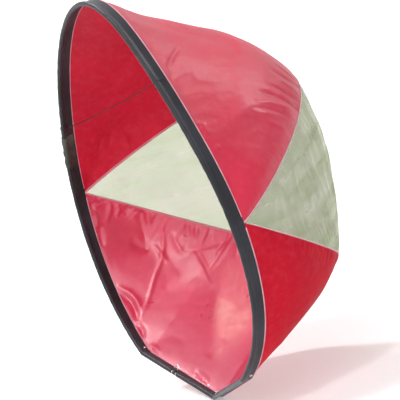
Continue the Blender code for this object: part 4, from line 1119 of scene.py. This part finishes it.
def along_rails(rails, spot, lift):
    """Line along a tape at a share of its width, lifted off it, with its normals."""
    reach = spot * (rails[0].shape[1] - 1)
    low = int(reach)
    line, side = (part[:, low] + (part[:, low + 1] - part[:, low]) * (reach - low)
                  for part in rails)
    side = unit(side)
    return line + side * lift, side


def resample(line, side, pitch):
    """A line and its normals at even steps."""
    lengths = run_lengths(line)
    steps = np.linspace(0.0, lengths[-1], max(int(lengths[-1] / pitch), 2) + 1)
    return sampled(steps, lengths, line), sampled(steps, lengths, side)


def thread(name, path, material, radius, sides, closed=False):
    """Round tube along a path of points."""
    turns = np.linspace(0.0, 2 * math.pi, sides, endpoint=False)[:, None]
    side = np.array(THREAD_GUIDE)
    sections = []
    for point, along in zip(path, directions(path, closed)):
        side = unit(np.cross(along, side) if not sections else side - along * side.dot(along))
        lift = np.cross(along, side)
        sections.append(point + radius * (np.cos(turns) * side + np.sin(turns) * lift))
    return tube_of_sections(name, np.stack(sections), material, closed)


def zigzag(name, rails, spot, lift):
    """Row of zigzag stitches in white thread along a tape."""
    line, side = resample(*along_rails(rails, spot, lift), STITCH_PITCH / 2)
    across = unit(np.cross(unit(np.gradient(line, axis=0)), side))
    sway = np.where(np.arange(len(line)) % 2 == 0, 1.0, -1.0)[:, None] * STITCH_WIDTH / 2
    return thread(name, line + across * sway, THREAD, STITCH_RADIUS, 4)


def edge_of(grid, from_end):
    return lambda distances: at_distance(grid, distances, from_end)


def window_seam(name, node, first, second):
    """Tapes inside and outside over a window seam, each held by two rows of zigzag."""
    rails = seam_rails(first, second, TAPE_REACH, 3)
    pieces = both_faces(name, rails, TAPE_LIFT, TAPE, TAPE_SKIN)
    pieces += [zigzag(name + "_stitch", rails, spot, lift)
               for spot in (0.20, 0.80) for lift in (STITCH_LIFT, -STITCH_LIFT)]
    ridge, _ = resample(*along_rails(rails, 0.5, STITCH_LIFT), RIDGE_STEP)
    pieces.append(thread(name + "_ridge", ridge, THREAD, RIDGE_RADIUS, 5))
    finish_piece(join_pieces(name, pieces), node)


INNER = slice(1, -1)
window_seam("upper_window_seam", "window_tape_upper", edge_of(UPPER_GRID[INNER], True),
            edge_of(WINDOW_GRID[INNER], False))
window_seam("lower_window_seam", "window_tape_lower", edge_of(LOWER_GRID[INNER], True),
            edge_of(WINDOW_GRID[INNER], True))


def sleeve_tail(frames, depths):
    """Seam side of the band, as distances forward from its tail edge."""
    def points_at(distances):
        points, _, back, out = (part[:, None] for part in frames)
        spots = depths[:, None] - distances[None, :]
        normals = np.broadcast_to(out, (len(depths), len(distances), 3))
        return points + back * spots[..., None], normals
    return points_at


def panel_frames(places, lower):
    """Sleeve frames and depths beside the panel's columns."""
    shares = np.minimum(places, 2.0 - places)
    angles = lower_angles(shares) if lower else upper_angles(shares)
    frames, depths = arc_frames(angles), arc_depths(angles)
    if lower:
        on_base = shares > LOWER_CORNER_SHARE
        base = base_frames(base_shares(shares))
        frames = tuple(np.where(on_base[:, None], b, a) for a, b in zip(frames, base))
        depths = np.where(on_base, BASE_SLEEVE_DEPTH, depths)
    left = (places > 1.0)[:, None]
    return tuple(np.where(left, flip, part)
                 for part, flip in zip(frames, mirror_frames(frames))), depths


def rim_run(name, node, grid, lower, low, high):
    """Pale edge binding, outside and inside, where a panel is sewn to the sleeve."""
    inside = (PLACES > low + 1e-6) & (PLACES < high - 1e-6)
    tail = sleeve_tail(*panel_frames(PLACES[inside], lower))
    rails = seam_rails(tail, edge_of(grid[inside], False), EDGE_REACH, 2)
    pieces = both_faces(name, rails, SLEEVE_WALL + EDGE_GAP, PIPING, EDGE_SKIN)
    finish_piece(join_pieces(name, pieces), node)


START, END = RIM_EDGE_TRIM, 2.0 - RIM_EDGE_TRIM
RIGHT_CORNER, LEFT_CORNER = LOWER_CORNER_SHARE, 2.0 - LOWER_CORNER_SHARE
rim_run("upper_rim_edge", "rim_tape_upper", UPPER_GRID, False, START, END)
for run_name, run_node, run_start, run_end in (
        ("lower_rim_edge_right", "rim_tape_lower_right", START, RIGHT_CORNER),
        ("lower_rim_edge_left", "rim_tape_lower_left", LEFT_CORNER, END),
        ("base_edge_right", "base_tape_right", RIGHT_CORNER, 1.0),
        ("base_edge_left", "base_tape_left", 1.0, LEFT_CORNER)):
    rim_run(run_name, run_node, LOWER_GRID, True, run_start, run_end)


# Wraps, ties and the line across the mouth

def over_sleeve(depth):
    return teardrop(depth, TAPE_GAP + WRAP_THICKNESS)


def wrap_piece(name, node, first, last, left, material, steps, puff):
    """Band round the sleeve with its own ruffles, open where the tail leaves it."""
    frames = arc_frames(np.linspace(first, last, steps))
    frames = mirror_frames(frames) if left else frames
    outer = sleeve_grid(frames, np.full(steps, SLEEVE_DEPTH - WRAP_SHORT), over_sleeve)
    outer = ruffled(outer, seed=7.7, size=0.018, height=puff, ends=2.0)
    finish_piece(tube_of_sections(name, outer, material), node)


HALF_TIE = math.degrees(TIE_WIDTH / 2 / HOOP_RADIUS)
for side, angle in (("right", TIE_RIGHT_ANGLE), ("left", TIE_LEFT_ANGLE)):
    wrap_piece("tie_" + side, "line_tie_" + side, angle - HALF_TIE, angle + HALF_TIE,
               side == "left", WEBBING, steps=7, puff=0.0004)
wrap_piece("wrap_left", "storage_wrap", WRAP_START_ANGLE, WRAP_END_ANGLE, True, WRAP_NYLON,
           steps=50, puff=0.0030)


def tie_point(angle):
    reach = SLEEVE_NOSE_RADIUS + TAPE_GAP + WRAP_THICKNESS
    return place(arc_frames(np.array([angle])), [LINE_SET_BACK], [-reach])[0]


TIED_RIGHT, TIED_LEFT = tie_point(TIE_RIGHT_ANGLE), flipped(tie_point(TIE_LEFT_ANGLE))
RUN = unit(TIED_LEFT - TIED_RIGHT)
KNOT_RIGHT = TIED_RIGHT + RUN * (KNOT_HALF_LENGTH - KNOT_SEAT_RIGHT)
KNOT_LEFT = TIED_LEFT - RUN * (KNOT_HALF_LENGTH - KNOT_SEAT_LEFT)


def line_route():
    start = KNOT_RIGHT + RUN * (KNOT_HALF_LENGTH + TAPE_GAP)
    end = KNOT_LEFT - RUN * (KNOT_HALF_LENGTH + TAPE_GAP)
    shares = np.linspace(0.0, 1.0, LINE_POINTS)[:, None]
    sag = 4 * LINE_SAG * shares * (1 - shares)
    return start + (end - start) * shares - sag * np.array((0.0, 0.0, 1.0))


def smooth_path(points, steps, closed=False):
    """Catmull-Rom curve through points."""
    points = np.asarray(points, float)
    count = len(points)
    result = []
    for i in range(count if closed else count - 1):
        a, b, c, d = (points[k % count] if closed else points[min(max(k, 0), count - 1)]
                      for k in (i - 1, i, i + 1, i + 2))
        for share in np.arange(steps) / steps:
            result.append(0.5 * (2 * b + (c - a) * share
                                 + (2 * a - 5 * b + 4 * c - d) * share ** 2
                                 + (3 * b - a - 3 * c + d) * share ** 3))
    if not closed:
        result.append(points[-1])
    return np.array(result)


def knot(name, node, centre):
    """Three turns drawn tight round the line, with the line's ends tucked through them."""
    side = unit(np.cross(RUN, np.array((0.0, 1.0, 0.0))))
    lift = np.cross(RUN, side)
    turns = np.linspace(0.0, KNOT_TURNS * 2 * math.pi, 60)
    radius = KNOT_RADIUS - KNOT_WIRE
    drift = np.linspace(-1.0, 1.0, len(turns)) * (KNOT_HALF_LENGTH - 1.6 * KNOT_WIRE)
    coil = (centre + RUN * drift[:, None]
            + side * (radius * np.cos(turns))[:, None] + lift * (radius * np.sin(turns))[:, None])
    near, far = ([centre + RUN * KNOT_HALF_LENGTH * share for share in shares]
                 for shares in ((-1.0, -KNOT_TUCK_SHARE), (KNOT_TUCK_SHARE, 1.0)))
    path = smooth_path(np.concatenate((near, coil[::4], far)), 5)
    core = np.linspace(near[0], far[1], 9)
    item = join_pieces(name, [thread(name + "_coil", path, CORD, KNOT_WIRE, 8),
                              thread(name + "_core", core, CORD,
                                     KNOT_WIRE * KNOT_CORE_SHARE, 8)])
    return finish_piece(item, node)


RIGHT_KNOT = knot("knot_right", "line_knot_right", KNOT_RIGHT)
LEFT_KNOT = knot("knot_left", "line_knot_left", KNOT_LEFT)


def cord_curve(name, points, radius, material):
    data = bpy.data.curves.new(name, "CURVE")
    data.dimensions = "3D"
    spline = data.splines.new("POLY")
    spline.points.add(len(points) - 1)
    for stop, point in zip(spline.points, points):
        stop.co = (*point, 1.0)
    data.bevel_depth = radius
    data.bevel_resolution = 4
    data.use_fill_caps = True
    return link(name, data, material)


def tail_route():
    down = np.array((0.0, 0.0, -1.0))
    start = KNOT_RIGHT + down * (KNOT_RADIUS + TAPE_GAP)
    shares = np.linspace(0.0, 1.0, 25)[:, None]
    return (start + RUN * TAIL_LENGTH * shares ** 2
            + down * TAIL_LENGTH * TAIL_DROP_SHARE * np.sin(math.pi * shares / 2))


ROUTE = line_route()
LINE = cord_curve("mouth_line", ROUTE, LINE_RADIUS, CORD)
finish_piece(LINE, "control_line")
TAIL = thread("line_tail", tail_route(), CORD, LINE_RADIUS, 10)
finish_piece(TAIL, "line_tail_right")


# Rings, webbing and eyelets

def local(origin, axes, spots):
    """Points at (along, back, out) distances in a frame."""
    spots = np.asarray(spots, float)
    return origin + spots @ np.array(axes)


def rounded(values, power):
    return np.sign(values) * np.abs(values) ** power


def strap(name, origin, axes, path, width, thickness, material, closed=False):
    """Webbing of a rounded flat section that follows a path in the (back, out) plane."""
    run = directions(path, closed)
    normal = np.stack((-run[:, 1], run[:, 0]), -1)
    turns = np.linspace(0.0, 2 * math.pi, 20, endpoint=False)
    across = rounded(np.cos(turns), STRAP_SIDE_POWER) * width / 2
    lift = rounded(np.sin(turns), STRAP_FACE_POWER) * thickness / 2
    sections = []
    for point, side in zip(path, normal):
        flat = point + side * lift[:, None]
        sections.append(local(origin, axes, np.stack((across, flat[:, 0], flat[:, 1]), -1)))
    return tube_of_sections(name, np.stack(sections), material, closed)


def ring(name, node, body, origin, axes, direction):
    """D ring of drawn wire, its bar along the frame's first axis."""
    bar = RING_WIDTH / 2 - RING_WIRE_RADIUS
    turns = np.linspace(0.0, math.pi, 33)
    bow = RING_DEPTH * np.sin(turns) ** RING_BOW_POWER_SHARE
    path = (origin + np.outer(bar * np.cos(turns), axes[0]) + np.outer(bow, direction))
    bars = np.linspace(path[-1], path[0], 9)[1:-1]
    item = thread(name, np.concatenate((path, bars)), STEEL, RING_WIRE_RADIUS, 12, True)
    finish_piece(item, node, body)


def corner_axis():
    arc = place(arc_frames(np.array([CORNER_ANGLE])), [SLEEVE_NOSE_RADIUS], [0.0])[0]
    base = place(base_frames([0.0]), [SLEEVE_NOSE_RADIUS], [0.0])[0]
    return (arc + base) / 2


def tip_axis():
    return place(base_frames([1.0]), [SLEEVE_NOSE_RADIUS], [0.0])[0] * np.array((0.0, 1, 1))


def deck_loop():
    share = (NOTCH_START_SHARE + NOTCH_END_SHARE) / 2
    start, end = corner_axis(), tip_axis()
    origin = flipped(start + (end - start) * share)
    along, back, out = (part[0] for part in mirror_frames(base_frames([share]))[1:])
    lean = math.radians(LOOP_LEAN)
    towards = back * math.cos(lean) - out * math.sin(lean)
    axes = (along, towards, np.cross(along, towards))
    bore = BATTEN_RADIUS + SOCKET_CLEARANCE + FERRULE_WALL + LOOP_CLEARANCE
    ring_bore = RING_WIRE_RADIUS + LOOP_CLEARANCE
    reach = bore + ring_bore + 3 * LOOP_THICKNESS
    big, small = bore + LOOP_THICKNESS / 2, ring_bore + LOOP_THICKNESS / 2
    waist = bore + LOOP_THICKNESS * 1.35
    path = [*arc_points(big, 48.0, 312.0, 12), (waist, -LOOP_THICKNESS * 0.55),
            *arc_points(small, -125.0, 125.0, 9, reach), (waist, LOOP_THICKNESS * 0.55)]
    item = strap("deck_loop_strap", origin, axes, smooth_path(path, 4, closed=True),
                 LOOP_WIDTH, LOOP_THICKNESS * LOOP_SKIN_SHARE, WEBBING, closed=True)
    finish_piece(item, "deck_loop", "deck_loop")
    ring("deck_ring_wire", "deck_ring", "deck_ring", origin + towards * reach, axes, towards)


def tip_tab():
    sleeve = tuple(part[0] for part in TIP_MITRE[0])
    nose = sleeve[0] + sleeve[2] * SLEEVE_NOSE_RADIUS - sleeve[3] * SLEEVE_NOSE_RADIUS
    tail = sleeve[0] + sleeve[2] * BASE_SLEEVE_DEPTH - sleeve[3] * SLEEVE_WALL
    back = unit(tail - nose)
    up = np.cross(sleeve[1], back)
    slope = base_frames([1.0])[1][0]
    rise = LOOP_WIDTH / 2 * slope.dot(up) / slope.dot(sleeve[1])
    lift = rise + TAPE_GAP + LOOP_THICKNESS + LOOP_CLEARANCE + RING_WIRE_RADIUS
    origin = (nose + up * lift) * np.array((0.0, 1.0, 1.0))
    axes = (sleeve[1], back, up)
    bore = RING_WIRE_RADIUS + LOOP_CLEARANCE
    eye = bore + LOOP_THICKNESS / 2
    top = -eye + LOOP_THICKNESS
    path = [*((TAB_LENGTH * share, -eye) for share in (1.0, 0.6, 0.25)),
            *arc_points(eye, -90.0, -285.0, 9), (eye * 1.5, top + 0.0012),
            *((TAB_LENGTH * share, top) for share in (0.35, 0.6, 0.98))]
    item = strap("tip_tab_strap", origin, axes, smooth_path(path, 4), LOOP_WIDTH,
                 LOOP_THICKNESS * TAB_SKIN_SHARE, WEBBING)
    finish_piece(item, "tip_tab")
    ring("tip_ring_wire", "tip_ring", "tip_ring", origin, axes,
         unit(back + TIP_RING_LIFT_SHARE * up))


deck_loop()
tip_tab()


def revolve(name, origin, axes, profile, material, sides=40):
    """Closed profile of (radius, height) turned about the frame's last axis."""
    turns = np.linspace(0.0, 2 * math.pi, sides, endpoint=False)
    sections = np.stack([local(origin, axes, [(radius * math.cos(t), radius * math.sin(t),
                                               height) for radius, height in profile])
                         for t in turns])
    return tube_of_sections(name, sections, material, closed=True)


def eyelet_frame():
    """Frame through the sleeve's tail, square to the band near the corner."""
    step = math.degrees(EYELET_FROM_CORNER / HOOP_RADIUS)
    point, along, back, out = (part[0] for part in
                               arc_frames(np.array([CORNER_ANGLE + step])))
    return point + back * EYELET_SET_BACK, (along, back, out)


def eyelet(name, node, origin, axes):
    middle = (EYELET_RADIUS + EYELET_HOLE_RADIUS) / 2
    reach = (EYELET_RADIUS - EYELET_HOLE_RADIUS) / 2
    profile = []
    for side in (1, -1):
        profile += [(middle + reach * math.cos(t),
                     side * (EYELET_SEAT + EYELET_FLANGE * math.sin(t) ** FLANGE_POWER))
                    for t in np.linspace(0.0, math.pi, 7)[::side]]
    item = revolve(name, origin, axes, profile, NICKEL)
    finish_piece(item, node)


EYE, EYE_AXES = eyelet_frame()
LEFT_EYE, LEFT_AXES = flipped(EYE), tuple(flipped(axis) for axis in EYE_AXES)
eyelet("eyelet_right", "corner_eyelet_right", EYE, EYE_AXES)
eyelet("eyelet_left", "corner_eyelet_left", LEFT_EYE, (-LEFT_AXES[0], *LEFT_AXES[1:]))


# Carried-over solids

for material, nodes in (
        (GLASS_FIBRE, ("hoop_batten", "base_batten_right", "base_batten_left_outer",
                       "base_batten_left_inner")),
        (MOULDED, ("corner_elbow_left", "corner_elbow_right", "tip_elbow")),
        (STEEL, ("batten_ferrule",))):
    for node in nodes:
        for material_slot in bpy.data.objects[node].material_slots:
            material_slot.material = material


# Camera, lights and floor

FOCAL_PIXELS = 4500.0
PHOTO_PIXELS = 400.0
CAMERA_PLACE = (10.74802, -3.98552, 2.97549)
CAMERA_RIGHT = (0.402563, 0.861618, -0.309125)
CAMERA_UP = (-0.072358, 0.366591, 0.927564)
CAMERA_BACK = (0.912528, -0.351035, 0.209921)
FLOOR_RADIUS = 16.0
FLOOR_SIDES = 64


def make_camera():
    data = bpy.data.cameras.new("camera")
    data.sensor_width = 36.0
    data.lens = data.sensor_width * FOCAL_PIXELS / PHOTO_PIXELS
    data.clip_end = 100.0
    item = link("camera", data)
    turn = Matrix((CAMERA_RIGHT, CAMERA_UP, CAMERA_BACK)).transposed().to_4x4()
    item.matrix_world = Matrix.Translation(CAMERA_PLACE) @ turn
    bpy.context.scene.camera = item


def sun(name, towards, strength, softness):
    data = bpy.data.lights.new(name, "SUN")
    data.energy = strength
    data.angle = math.radians(softness)
    link(name, data).rotation_euler = Vector(towards).to_track_quat("-Z", "Y").to_euler()


def make_world(fill):
    """Soft even light; white where the eye meets the background."""
    world = bpy.data.worlds.new("studio")
    bpy.context.scene.world = world
    tree = Tree(world)
    light = tree.nodes["Background"]
    tree.fill(light, {"Color": (1.0, 1.0, 1.0), "Strength": fill})
    white = tree.node("Background", Color=(1.0, 1.0, 1.0), Strength=1.0)
    tree.blend(tree.seen_directly(), light.outputs[0], white, output="World Output")


def make_floor(height, lift):
    """Pale disc under the sail: white to the eye where no shadow falls on it."""
    turns = np.linspace(0.0, 2 * math.pi, FLOOR_SIDES, endpoint=False)
    points = np.stack((FLOOR_RADIUS * np.cos(turns), FLOOR_RADIUS * np.sin(turns),
                       np.full(FLOOR_SIDES, height)), -1)
    tree = new_tree("pale_floor")
    tone = tree.mix(tree.noise(3.0, 3.0), (0.86, 0.86, 0.86), (0.88, 0.88, 0.88))
    plain = tree.shader(Base_Color=tone, Roughness=0.9, Specular_IOR_Level=0.1)
    glow = tree.node("Emission", Strength=tree.math("MULTIPLY", tree.seen_directly(), lift))
    tree.blend(plain, glow, kind="Add")
    make_mesh("floor", points, [tuple(range(FLOOR_SIDES))], tree.owner)


make_camera()
bpy.context.scene.view_settings.view_transform = "Standard"
make_world(fill=0.26)
for sun_name, direction, strength, softness in (
        ("top", (0.10, 0.45, -0.90), 1.10, 16.0),
        ("front", (-0.50, 0.45, -0.74), 0.65, 7.0),
        ("sky", (-0.68, 0.32, -0.66), 0.45, 36.0),
        ("mouth", (-0.50, 0.75, -0.43), 0.30, 40.0),
        ("back", (0.20, -0.83, -0.54), 0.50, 6.0),
        ("side", (0.68, 0.06, -0.73), 1.60, 4.0)):
    sun(sun_name, direction, strength, softness)
make_floor(height=CAD_BOX[0][2], lift=0.36)
